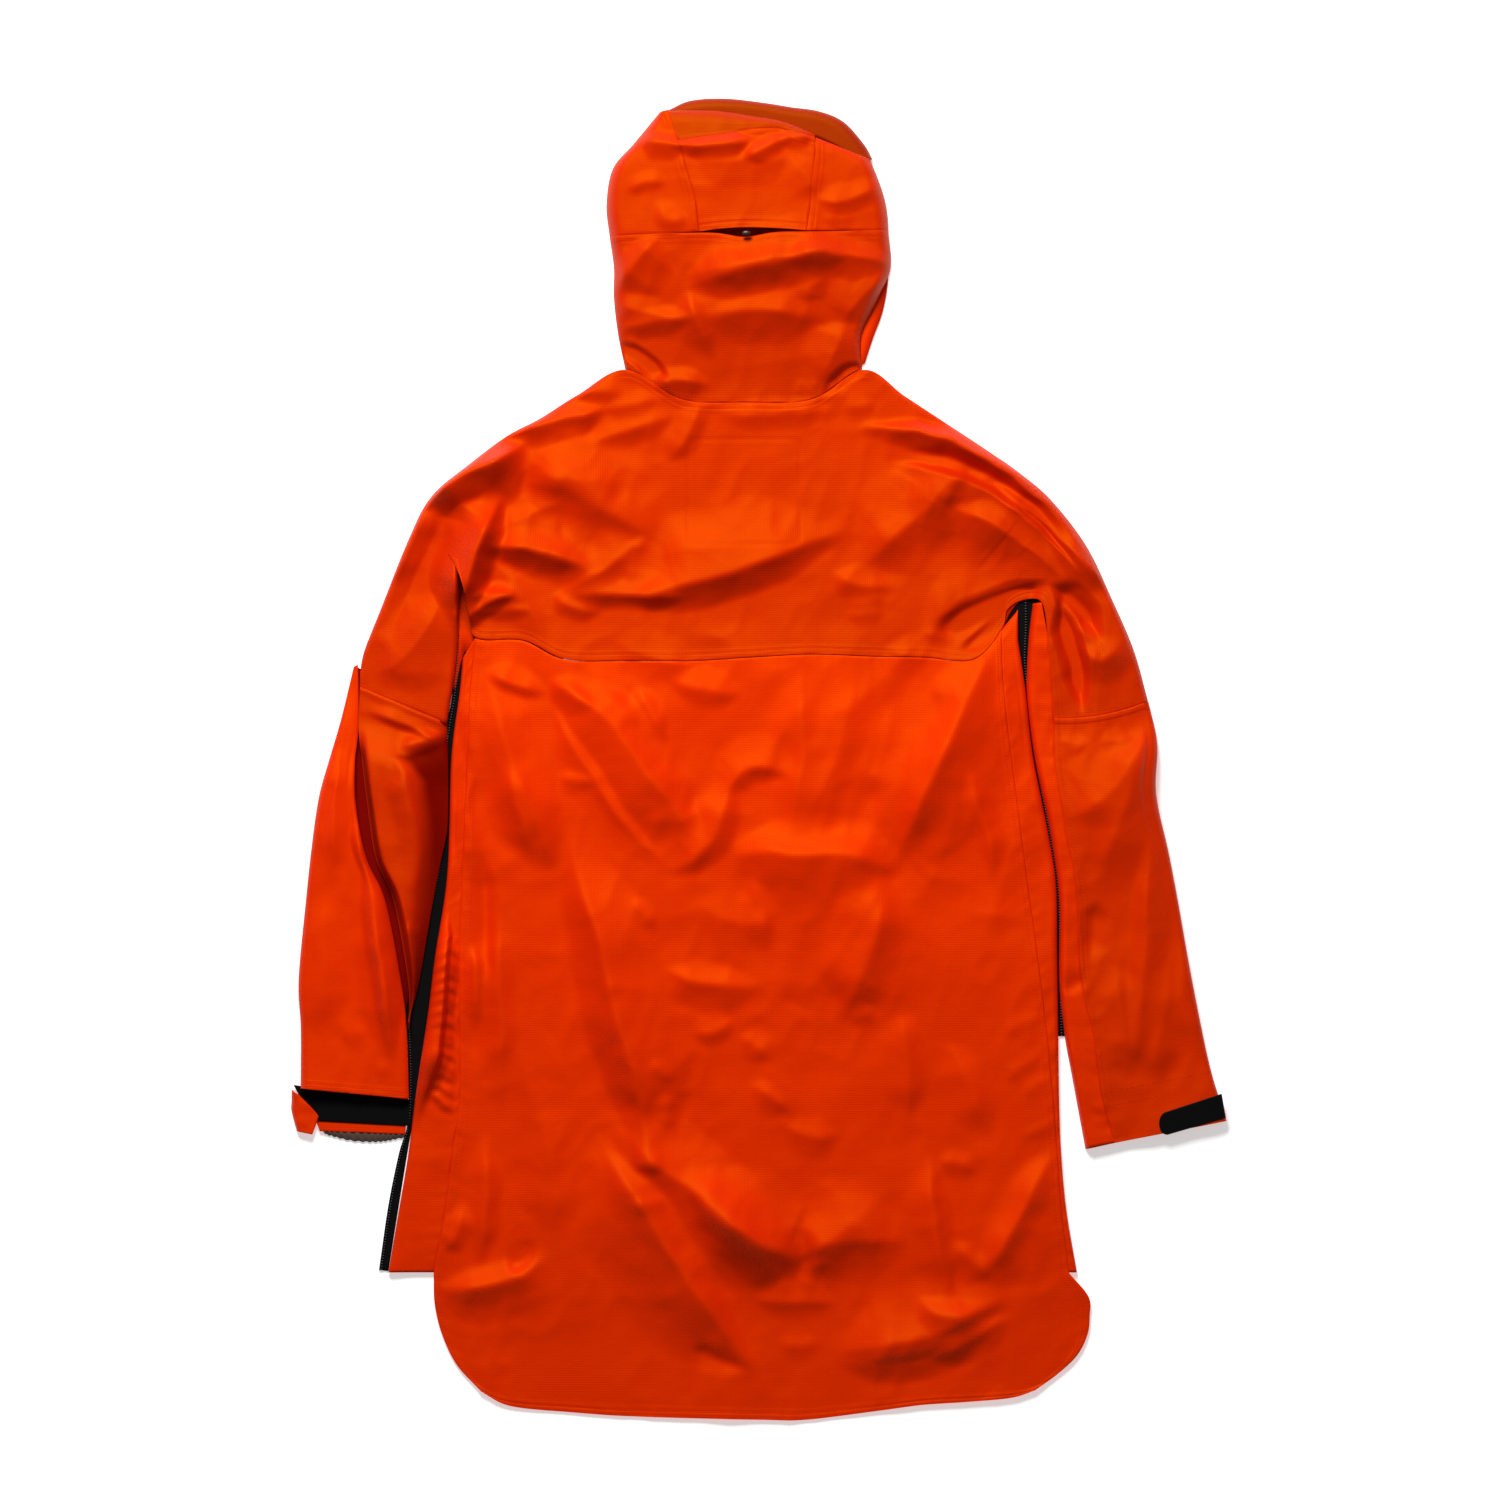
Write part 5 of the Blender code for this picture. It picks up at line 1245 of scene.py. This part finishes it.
# To the right of this line the lobe is painted darker, as shade deep in the fold where little light gets
# in: y, then x.
SHADE_PAINT_LINE = ([-230, -139, -101, -63, -20, -2.4, 2.4, 16.6, 40],
             [-330, -316, -312, -313, -318, -330, -338, -304, -270])
SHADE_PAINT_SOFT = [-200, -60, -8, 4], [14, 9, 5, 11]      # how softly it begins there: y, then mm
SHADE_PAINT_MOST, SHADE_PAINT_FROM, SHADE_PAINT_TO = 0.95, -1.5, 0.8     # its greatest share; start and end in softnesses
gaps = np.stack([CREASE_GAPS, np.zeros(len(CREASE_GAPS))], axis=1)
under_crease = np.vstack([YOKE_OUTER[:1], crease[1:-1] + gaps])
under_inner = np.vstack([YOKE_INNER[:1], inner[1:-1]])
places = np.linspace(0, len(under_crease) - 1, 130)
lowered = -LOBE_LOWER * ease(places, *LOWER_ROWS)[:, None]
grid = edge_rolled(smooth_curve(under_inner, places), smooth_curve(under_crease, places), LOBE_RADIUS, 14,
                   extra=lowered)
in_from_crease = border_depth(grid[..., :2], "last_column")[0].T[:, ::-1]
below = ease(places, *RISE_ROWS)[:, None]
sunk = LOBE_SUNK * ease(in_from_crease / in_from_crease[:, :1], LOBE_START, LOBE_END)
rising = ease(in_from_crease, 0.0, CREASE_DEPTH) * (1 - sunk) * below + 1 - below
grid[..., 2] += LOBE_RISE * below
grid[..., 2] = LOBE_REST + (grid[..., 2] - LOBE_REST) * rising
past_fold = np.arange(grid.shape[1])[None] >= len(ROLL_SHARES)
grid[..., 2] = np.maximum(grid[..., 2], np.where(past_fold, LOBE_REST, 0.0))
grid[0, :, :2] += LOBE_LAP
sew_border(grid, "first_row", "step", pucker=0.5, seed=62)
undersleeve_left = sew_panel("undersleeve_left", grid, lobe_shell_painted_shade)
# Painted shade: the lobe's colour darkens past the line, by a share kept on its points.
past_shade_line = (grid[..., 0] - np.interp(grid[..., 1], *SHADE_PAINT_LINE)) / np.interp(grid[..., 1], *SHADE_PAINT_SOFT)
painted_fold_shade = undersleeve_left.data.attributes.new("painted_fold_shade", "FLOAT", "POINT")
painted_fold_shade.data.foreach_set("value", (SHADE_PAINT_MOST * ease(past_shade_line, SHADE_PAINT_FROM, SHADE_PAINT_TO)).ravel())

# %% [markdown]
# ## Hood
# The hood lies on its face with its back up, and stands a few centimetres off the floor.  It
# has a back panel up from the neck seam, two sides, a centre panel whose lower edge is an
# open flap, a crown band and the brim that peeks out above it.

# %% The hood's lines
HOOD_LEFT_ROWS = [
    # outer_x, outer_y, seam_x, seam_y, from the crown to the cross seam
    (-95, 614, -86, 616),
    (-119, 585, -77, 587),
    (-139, 561, -70, 564),
    (-145, 527, -61, 532),
    (-142, 496, -57, 500),
]
HOOD_RIGHT_ROWS = [
    # seam_x, seam_y, outer_x, outer_y
    (53, 590, 106, 569),
    (53, 570, 113, 552),
    (50, 546, 119, 534),
    (48, 522, 122, 518),
    (45, 501, 123, 502),
]
CROWN_ROWS = [
    # fold_x, fold_y, seam_x, seam_y, left to right
    (-88, 615, -78, 587),
    (-66, 616, -59, 590),
    (-37, 615, -35, 593),
    (-9, 611, -9, 597),
    (20, 606, 15, 598),
    (42, 598, 36, 594),
    (53, 593, 53, 590),
]
BRIM_ROWS = [
    # outer_x, outer_y, inner_x, inner_y, left to right
    (-86, 616, -82, 617),
    (-65, 625, -64, 618),
    (-32, 627, -36, 617),
    (5, 623, -8, 613),
    (30, 619, 21, 608),
    (57, 615, 43, 600),
    (80, 605, 66, 591),
    (99, 584, 87, 580),
    (107, 570, 104, 571),
]
CROWN_EDGE = [(-88, 615), (-66, 616), (-37, 615), (-9, 611), (20, 606), (42, 598), (55, 592), (82, 581),
              (106, 569)]

# %% Make the hood's sides, crown and brim
places = (len(HOOD_LEFT_ROWS) - 1) * edge_shares(125, 40)
grid = edge_rolled(*both_sides(HOOD_LEFT_ROWS, places), HOOD_RADIUS, 18)
sew_borders(grid, 71, last_row="tuck", last_column="lap")
sew_panel("hood_left", grid, hood_shell_painted_shade)

places = (len(HOOD_RIGHT_ROWS) - 1) * edge_shares(90, 34)
grid = edge_rolled(*both_sides(HOOD_RIGHT_ROWS, places)[::-1], HOOD_RADIUS, 16)
crown_edge = even_curve(CROWN_EDGE, np.linspace(0, 1, 60))
depth, _, _ = path_distance(grid[..., 0], grid[..., 1], crown_edge)
in_from_crown = round_over(depth, CROWN_RADIUS)
crown_height = np.minimum(CROWN_REST, grid[..., 2])
grid[..., 2] = grid[..., 2] * in_from_crown + crown_height * (1 - in_from_crown)
sew_borders(grid, 73, last_row="tuck", last_column="lap")
sew_panel("hood_right", grid, hood_shell_painted_shade)

places = (len(CROWN_ROWS) - 1) * edge_shares(145, 50)
grid = edge_rolled(*both_sides(CROWN_ROWS, places), CROWN_RADIUS, 4, rest=CROWN_REST)
sew_border(grid, "last_column", "tuck", seed=75)
sew_panel("hood_crown", grid, crown_shell_painted_shade)

BRIM_UNDER = (-1.5, -5.0)       # how far the brim runs on under the crown's fold
outer, inner = both_sides(BRIM_ROWS, np.linspace(0, len(BRIM_ROWS) - 1, 120))
inner = inner + BRIM_UNDER
width = span(outer, inner)[0][:, None]
depths = width * np.linspace(0, 1, 12)[None] ** 1.6
height = BRIM_HEIGHT * round_over(depths, np.minimum(BRIM_HEIGHT, 0.7 * width))
grid = with_height(ruled_plan(outer, inner, depths / width), height)
sew_panel("hood_brim", grid, brim_shell_painted_shade)

# %% Make the centre panel with its open flap
CENTRE_TOP = [(-79, 587), (-59, 590), (-35, 593), (-9, 597), (15, 598), (36, 594), (53, 590)]
CENTRE_BOTTOM = [(-57, 500), (-32, 503), (-9, 504), (18, 503), (45, 501)]
FLAP_LIFT = 2.0
across, down = edge_shares(120, 42), edge_shares(95, 30)
top, bottom = even_curve(CENTRE_TOP, across), even_curve(CENTRE_BOTTOM, across)
left = even_curve(columns(HOOD_LEFT_ROWS, 2), down, 1, 4)
right = even_curve(columns(HOOD_RIGHT_ROWS, 0), down, 0, 4)
plan = coons_plan(top, bottom, left, right, across, down)
lift = FLAP_LIFT * down[:, None] ** 2 * np.sin(math.pi * across)[None] ** 0.5
grid = raise_plan(plan, lift)
for border, kind in zip(BORDERS, ("lap", "hem", "tuck", "tuck")):
    sew_border(grid, border, kind, seed=76)
sew_panel("hood_centre", grid, hood_shell_painted_shade)

# %% Make the hood's back
HOOD_BACK_LEFT = [(-142, 496), (-138, 467), (-138, 439), (-134, 404), (-127, 370)]
HOOD_BACK_RIGHT = [(123, 502), (125, 467), (113, 437), (98, 404), (98, 370)]
CROSS_SEAM = [(-142, 496), (-100, 498), (-57, 499), (-9, 500), (45, 500), (84, 501), (123, 502)]
HOOD_UNDER_LEFT = [(-122, 368), (-129, 404), (-133, 439), (-134, 467), (-140, 517), (-133, 557),
                   (-113, 581), (-90, 607), (-66, 619)]
HOOD_UNDER_RIGHT = [(98, 368), (108, 399), (118, 427), (123, 462), (120, 503), (117, 527),
                    (108, 549), (92, 579), (71, 603)]
HOOD_BACK_WIDTH = 262.0
LIP_MIDDLE, LIP_SPAN, LIP_SAG = -13.0, 20.0, 5.0      # the panel sags away from the flap here

roll = np.array([0.0, 0.3, 1.0, 2.2, 4.0, 6.0, 8.0, 10.5, HOOD_RADIUS]) / HOOD_BACK_WIDTH
across = np.concatenate([roll, np.linspace(roll[-1], 1 - roll[-1], 88)[1:-1], 1 - roll[::-1]])
down = edge_shares(140, 62)
top = smooth_curve(CROSS_SEAM, across * (len(CROSS_SEAM) - 1))
neck_line = smooth_curve(YOKE_OUTER, NECK_LEFT + across * (NECK_RIGHT - NECK_LEFT))
left, right = (smooth_curve(side, down * (len(side) - 1)) for side in (HOOD_BACK_LEFT, HOOD_BACK_RIGHT))
left[0], left[-1], right[0], right[-1] = top[0], neck_line[0], top[-1], neck_line[-1]
top[:, 1] -= LIP_SAG * np.exp(-((top[:, 0] - LIP_MIDDLE) / LIP_SPAN) ** 2)
grid = raise_plan(coons_plan(top, neck_line, left, right, across, down))
grid[..., 2] *= round_over(np.minimum(across, 1 - across)[None] * HOOD_BACK_WIDTH, HOOD_RADIUS)
sew_border(grid, "first_row", "lap", pucker=0.4, seed=77)
sew_border(grid, "last_row", "tuck", pucker=0.8, seed=78)
hood_back_cloth = grid
sew_panel("hood_back", grid, hood_shell_painted_shade)

# %% Make the hood's hidden front
across, down = np.linspace(0, 1, 24), np.linspace(0, 1, 30)
neck_line = smooth_curve(YOKE_OUTER, NECK_LEFT + 0.4 + across * (NECK_RIGHT - NECK_LEFT - 0.8))
brow = np.linspace(HOOD_UNDER_LEFT[-1], HOOD_UNDER_RIGHT[-1], len(across))
left, right = even_curve(HOOD_UNDER_LEFT, down), even_curve(HOOD_UNDER_RIGHT, down)
left[0], right[0] = neck_line[0], neck_line[-1]
grid = with_height(coons_plan(neck_line, brow, left, right, across, down), 1.4)
sew_panel("hood_under", grid, shell)

# %% [markdown]
# ## Cord lock
# Under the flap's open edge sits the barrel of the hood's cord lock, a small dark moulding.

# %% Make the cord lock
def barrel(name, middle, half, material, sides=24, rings=13):
    """Ellipsoid with flattened ends: radius times cos(tilt)^0.7, height times sin(tilt)."""
    tilt = np.linspace(-math.pi / 2, math.pi / 2, rings)
    turn = np.linspace(0, 2 * math.pi, sides, endpoint=False)
    ring = np.maximum(np.cos(tilt), 0.0)[:, None] ** 0.7
    z = np.broadcast_to(np.sin(tilt)[:, None], (rings, sides))
    points = np.stack([ring * np.cos(turn), ring * np.sin(turn), z], axis=2) * half + middle
    r, c = np.meshgrid(np.arange(rings - 1), np.arange(sides), indexing="ij")
    here, there = r * sides + c, r * sides + (c + 1) % sides
    faces = np.stack([here, there, there + sides, here + sides], axis=2).reshape(-1, 4)
    return new_piece(name, points, faces.tolist(), material)


lock_low, lock_high = (np.array(corner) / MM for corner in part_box("hood_cord_lock"))
LOCK_SINK = (0, 2.0, -4.5)      # it hangs back under the flap
LOCK_GROWN = 1.05
lock_middle = (lock_low + lock_high) / 2 + LOCK_SINK
cord_lock = barrel("cord_lock_barrel", lock_middle, (lock_high - lock_low) / 2 * LOCK_GROWN, toggle)
dress(cord_lock, "hood_cord_lock")

# %% [markdown]
# ## Zips
# Both zips are half zips here: a woven tape with a moulded coil along its free edge.  The
# side zip runs down the left flap.  The armpit zip hangs in the slit between body and sleeve,
# and its black tape runs on down the slit past the zip itself, standing in for the slit's
# shade: painted shade.

# %% Tape and coil helpers
PIT_ZIP_ROWS = [(235, 155, 271, 155), (232, 145, 275, 146), (234, 126, 273, 118), (244, 96, 261, 95),
                (250, 66, 260, 66), (254, 19, 265, 19), (271, -68, 280, -68),
                (279, -133, 290, -133), (282, -209, 290, -209), (284, -263, 291, -263)]
SIDE_ZIP_ROWS = [(-288, 119, -276, 119), (-291, 66, -279, 66), (-299, 14, -286, 14),
                 (-300, -38, -290, -38), (-305, -97, -292, -97), (-314, -138, -297, -138),
                 (-330, -213, -309, -213), (-336, -247, -314, -247), (-333, -304, -322, -304),
                 (-334, -346, -329, -346), (-342, -374, -334, -374), (-352, -423, -342, -423),
                 (-361, -485, -352, -486)]
COIL_PITCH = 2.6        # drawn coil turn, in place of the real 1.3 mm, so that it shows
COIL_HALF_HIGH = 0.65
TAPE_WALL = 0.8
BEAD = np.array([(-1, 0, -0.2), (-0.5, -1, -0.6), (-0.5, 1, -0.6), (-0.5, -0.8, 0.5), (-0.5, 0.8, 0.5),
                 (0.5, -1, -0.6), (0.5, 1, -0.6), (0.5, -0.8, 0.5), (0.5, 0.8, 0.5), (1, 0, -0.2)])
BEAD_FACES = [(0, 2, 1), (0, 1, 3), (0, 3, 4), (0, 4, 2), (1, 2, 6, 5), (3, 1, 5, 7), (4, 3, 7, 8),
              (2, 4, 8, 6), (9, 5, 6), (9, 7, 5), (9, 8, 7), (9, 6, 8)]


def tape_grid(rows, count, low, high):
    """Tape between two sides, higher at its coil edge."""
    places = length_places(columns(rows, 0), np.linspace(0, 1, count))
    share = np.linspace(0, 1, 7)
    plan = ruled_plan(*both_sides(rows, places), share)
    height = high - (high - low) * ease(share, 0.25, 0.6)
    return with_height(plan, height[None] + 0.25 * lattice_height(plan[..., 0], plan[..., 1], 9, 81))


def bead_row(name, middle, ahead, up, half_size, material):
    """One mesh of many small beads, each turned to its own direction on the cloth."""
    points = middle[:, None]
    for axis, way in enumerate((ahead, np.cross(up, ahead), up)):
        points = points + BEAD[None, :, axis:axis + 1] * half_size[axis] * way[:, None]
    faces = [tuple(corner + len(BEAD) * bead for corner in face) for bead in range(len(middle))
             for face in BEAD_FACES]
    return new_piece(name, points, faces, material)


def coil(name, line, width):
    """Row of coil turns along a line: each is a low ridge across the tape, with round ends."""
    walked = walked_along(line)
    places = np.arange(COIL_PITCH / 2, walked[-1], COIL_PITCH)
    middle = at_lengths(line, walked, places)
    ahead = at_lengths(line, walked, places + 0.5) - middle
    ahead = ahead / np.maximum(np.linalg.norm(ahead, axis=1), 1e-6)[:, None]
    ahead[-1] = ahead[-2]
    up = np.tile([0.0, 0.0, 1.0], (len(middle), 1))
    return bead_row(name, middle, ahead, up, (COIL_PITCH * 0.36, width / 2, COIL_HALF_HIGH), coil_nylon)


def make_zip(name, node, grid, coil_line, width=2.2):
    """Half a zip: its tape and the coil that goes with it."""
    tape = grid_object(name + "_tape", grid, zip_tape, TAPE_WALL)
    turns = coil(name + "_coil", coil_line, width)
    dress(tape, node)
    ride_along(turns)


# %% Make the zips
tape = tape_grid(SIDE_ZIP_ROWS, 220, 1.2, 1.8)
make_zip("side_zip", "side_zip_left", tape, tape[:, 1] + (0.6, 0.0, 0.6))
# Painted shade: below the zip itself, the black tape and coil stand in for the shade in the slit.
tape = tape_grid(PIT_ZIP_ROWS, 130, 1.0, 1.4)
make_zip("pit_zip", "pit_zip_right", tape, tape[:, 3] + (0.0, 0.0, 0.8), width=3.2)

# %% [markdown]
# ## Cuffs
# The left cuff's turned hem carries a band of black loop tape, an orange tab folded over its
# outer end, and a puff of the thin backing cloth that shows below it.  On the right cuff
# only the patch of loop tape shows.

# %% The cuffs' outlines and helpers
CUFF_LEFT = [(-433, -312), (-333, -322), (-336, -356), (-417, -353)]
CUFF_BAND = [(-442, -309), (-332, -323), (-332, -348), (-424, -343)]
CUFF_TAB = [(-444, -314), (-437, -318), (-420, -336), (-419, -342), (-424, -356), (-439, -353),
            (-444, -344)]
LINING_TOP = [(-415, -354), (-389, -355), (-360, -356), (-336, -357)]
LINING_EDGE = [(-412, -356), (-387, -362), (-360, -363), (-337, -359)]
CUFF_PATCH = [(378, -337), (439, -317), (443, -340), (381, -358)]


def quad_grid(corners, rows, count, height):
    """Flat grid between four corners, with a slight random unevenness."""
    a, b, c, d = (np.array(corner, float) for corner in corners)
    across = np.linspace(0, 1, count)[None, :, None]
    down = np.linspace(0, 1, rows)[:, None, None]
    plan = (a * (1 - across) + b * across) * (1 - down) + (d * (1 - across) + c * across) * down
    return with_height(plan, height + 0.5 * lattice_height(plan[..., 0], plan[..., 1], 14, 91))


def make_cuff_piece(name, node, grid, material, thickness):
    dress(grid_object(name, grid, material, thickness), node)


# %% Make the left cuff's hem, band and backing cloth
grid = quad_grid(CUFF_LEFT, 24, 50, 3.4)
make_cuff_piece("cuff_left_hem", "cuff_left", grid, shell, 2.8)

grid = quad_grid(CUFF_BAND, 20, 60, 5.0)
grid[..., 2] -= 0.6 * np.maximum(0, np.abs(np.linspace(-1, 1, 20))[:, None] - 0.8) * 5
make_cuff_piece("cuff_band_loop_tape", "cuff_band_left", grid, hook_tape, 1.3)

GATHERS = 13            # waves of the backing cloth along the cuff
share = np.linspace(0, 1, 90)
top, edge = smooth_curve(LINING_TOP, share * 3), smooth_curve(LINING_EDGE, share * 3)
plan = ruled_plan(top + (0, 2.0), edge, np.linspace(0, 1, 9))
gather = np.sin(share * 2 * math.pi * GATHERS + 2 * np.sin(share * 9))[:, None]
swell = np.sin(np.linspace(0.25, 1, 9) * math.pi)[None]
plan[:, 1:, 1] += 0.5 * gather * np.linspace(0, 1, 8)[None]
grid = with_height(plan, 1.6 + (1.7 + 0.7 * gather) * swell)
make_cuff_piece("cuff_backing_cloth", "cuff_lining_left", grid, lining, 0.6)

# %% Make the left cuff's tab
TAB_HEIGHT, TAB_DROP, TAB_RADIUS, TAB_WIDTH = 7.3, 6.4, 7.0, 20
corners = np.array(CUFF_TAB, float)
start, fold_top, fold_low = corners[1:5], corners[0], corners[6]
end = np.array([fold_top, (2 * fold_top + fold_low) / 3, (fold_top + 2 * fold_low) / 3, corners[5]])
end[:3, 0] = fold_top[0]
places = np.linspace(0, 3, 40)
share = np.linspace(0, 1, 14)
plan = ruled_plan(smooth_curve(start, places), smooth_curve(end, places), share)
height = TAB_HEIGHT - TAB_DROP * (1 - round_over((1 - share) * TAB_WIDTH, TAB_RADIUS))[None]
grid = with_height(plan, height + 0.5 * lattice_height(plan[..., 0], plan[..., 1], 8, 92))
make_cuff_piece("cuff_tab_folded", "cuff_tab_left", grid, shell, 1.2)

# %% Make the right cuff's patch
corners = np.array(CUFF_PATCH, float)
long_side = (corners[1] - corners[0] + corners[2] - corners[3]) / 2
across = np.linspace(0, 1, 21)
half = np.linalg.norm(corners[3] - corners[0]) / 2
bulge = half * (1 - np.sqrt(1 - (2 * across - 1) ** 2 * 0.96)) / np.linalg.norm(long_side)
left = corners[0] * (1 - across[:, None]) + corners[3] * across[:, None]
right = corners[1] * (1 - across[:, None]) + corners[2] * across[:, None]
first = bulge[:, None] * 0.8        # its left end is round
shares = first + (1 - first) * np.linspace(0, 1, 50)[None]
plan = ruled_plan(left, right, shares)
rim = np.minimum(np.minimum(across, 1 - across)[:, None] * 24, np.minimum(shares, 1 - shares) * 62)
grid = raise_plan(plan, SLEEVE_LIFT)
grid[..., 2] += 1.6 * round_over(rim, 1.6)
make_cuff_piece("cuff_patch_loop_tape", "cuff_patch_right", grid, hook_tape, 1.2)

# %% [markdown]
# ## Stitching
# Rows of stitches hold every seam, 6 mm beside it.  A stitch is a small bead of thread, so a
# row is one mesh of a few hundred beads that follow the cloth they're sewn into.

# %% Stitch rows
def line_in_from(grid, border, inset):
    """Points and normals of the cloth at one distance in from a border."""
    rows = turned(grid, border)
    depth, _ = border_depth(grid, border)
    before = np.clip((depth < inset).sum(axis=0) - 1, 0, len(rows) - 2)
    at = np.arange(rows.shape[1])
    share = (inset - depth[before, at]) / np.maximum(depth[before + 1, at] - depth[before, at], 1e-6)
    share = np.clip(share, 0, 1)[:, None]
    points = rows[before, at] * (1 - share) + rows[before + 1, at] * share
    normal = np.cross(np.gradient(rows, axis=0)[before, at], np.gradient(rows, axis=1)[before, at])
    normal *= np.sign(normal[:, 2:3] + 1e-9)
    return points, normal / np.linalg.norm(normal, axis=1)[:, None]


def stitch_row(name, grid, border, inset=STITCH_IN, first=0.01, last=0.99):
    """Stitches at one distance in from a border, from the first to the last share of its length."""
    points, normal = line_in_from(grid, border, inset)
    walked = walked_along(points)
    places = np.arange(walked[-1] * first, walked[-1] * last, STITCH_PITCH)
    middle, up = at_lengths(points, walked, places), at_lengths(normal, walked, places)
    ahead = np.gradient(middle, axis=0)
    ahead = ahead / np.linalg.norm(ahead, axis=1)[:, None]
    half_size = STITCH_LENGTH / 2, THREAD / 2, THREAD / 2
    piece = bead_row(name, middle + up * 0.05, ahead, up, half_size, thread)
    ride_along(piece)
    return piece


# %% Sew the rows
STITCHED = [
    # name of the row, cloth, border, then what differs from a whole row 6 mm in
    ("yoke_seam", yoke_cloth, "last_column", {"first": 0.24, "last": 0.76}),
    ("left_elbow", yoke_cloth, "first_row", {}),
    ("right_elbow", yoke_cloth, "last_row", {}),
    ("back_left_seam", back_cloth, "first_column", {}),
    ("back_right_seam", back_cloth, "last_column", {}),
    ("back_hem", back_cloth, "last_row", {}),
    ("left_cuff", sleeve_left_cloth, "last_row", {"last": 0.5}),
    ("right_sleeve_seam", sleeve_right_cloth, "first_column", {}),
    ("right_cuff", sleeve_right_cloth, "last_row", {"inset": 36, "last": 0.22}),
    ("right_cuff_hem", sleeve_right_cloth, "last_row", {"inset": 49, "last": 0.46}),
    ("hood_neck", hood_back_cloth, "last_row", {}),
    ("hood_cross_seam", hood_back_cloth, "first_row", {}),
]
rows = [stitch_row("stitches_" + name, cloth, border, **own) for name, cloth, border, own in STITCHED]
print(len(rows), "rows of stitches,", sum(len(row.data.polygons) for row in rows), "faces")

# %% [markdown]
# ## Floor, light and camera
# A white paper floor, a broad soft light from the left and above, and a sky that fills the
# shadows a little.  The camera looks straight down from high up, so that the coat's relief
# hardly shifts its outline.

# %% Stage, lights and camera
FRAME_WIDTH = 1512 * 0.95 * MM      # pixels across, and what one of them shows at floor level
PHOTO_MIDDLE = (-2.85 * MM, 3.3 * MM)
CAMERA_HEIGHT, SENSOR = 8.0, 36
FLOOR_HALF, FLOOR_SINK = 6000, 0.0004       # mm, and m below the lowest cloth
WHITE = (1, 1, 1, 1)

paper = new_material("white_paper", Base_Color=(0.93, 0.93, 0.93, 1), Roughness=0.9,
                     Specular_IOR_Level=0.0, Emission_Color=WHITE, Emission_Strength=0.46)
corners = np.array([(-1, -1, 0), (1, -1, 0), (1, 1, 0), (-1, 1, 0)]) * FLOOR_HALF
floor = new_piece("paper_floor", corners, [(0, 1, 2, 3)], paper)
floor.location.z = -FLOOR_SINK

world = bpy.data.worlds.new("studio")
world.use_nodes = True
sky = world.node_tree.nodes["Background"]
sky.inputs["Color"].default_value = WHITE
sky.inputs["Strength"].default_value = 0.17
bpy.context.scene.world = world

LAMP_FROM, LAMP_UP = math.radians(103), math.radians(45)    # counted from the right, and from the floor
LAMP_AWAY, LAMP_SIZE, LAMP_POWER = 2.9, 0.9, 106
lamp = bpy.data.lights.new("window", "AREA")
lamp.energy = LAMP_POWER
lamp.size = LAMP_SIZE
lamp_object = put_in_scene("window", lamp)
level, height = LAMP_AWAY * math.cos(LAMP_UP), LAMP_AWAY * math.sin(LAMP_UP)
lamp_object.location = (level * math.cos(LAMP_FROM), level * math.sin(LAMP_FROM), height)
lamp_object.rotation_euler = (math.radians(90) - LAMP_UP, 0, LAMP_FROM + math.radians(90))

camera = bpy.data.cameras.new("camera")
camera.sensor_width = SENSOR
camera.lens = SENSOR * CAMERA_HEIGHT / FRAME_WIDTH
camera_object = put_in_scene("camera", camera)
camera_object.location = (*PHOTO_MIDDLE, CAMERA_HEIGHT)
bpy.context.scene.camera = camera_object
bpy.context.scene.view_settings.view_transform = "Standard"
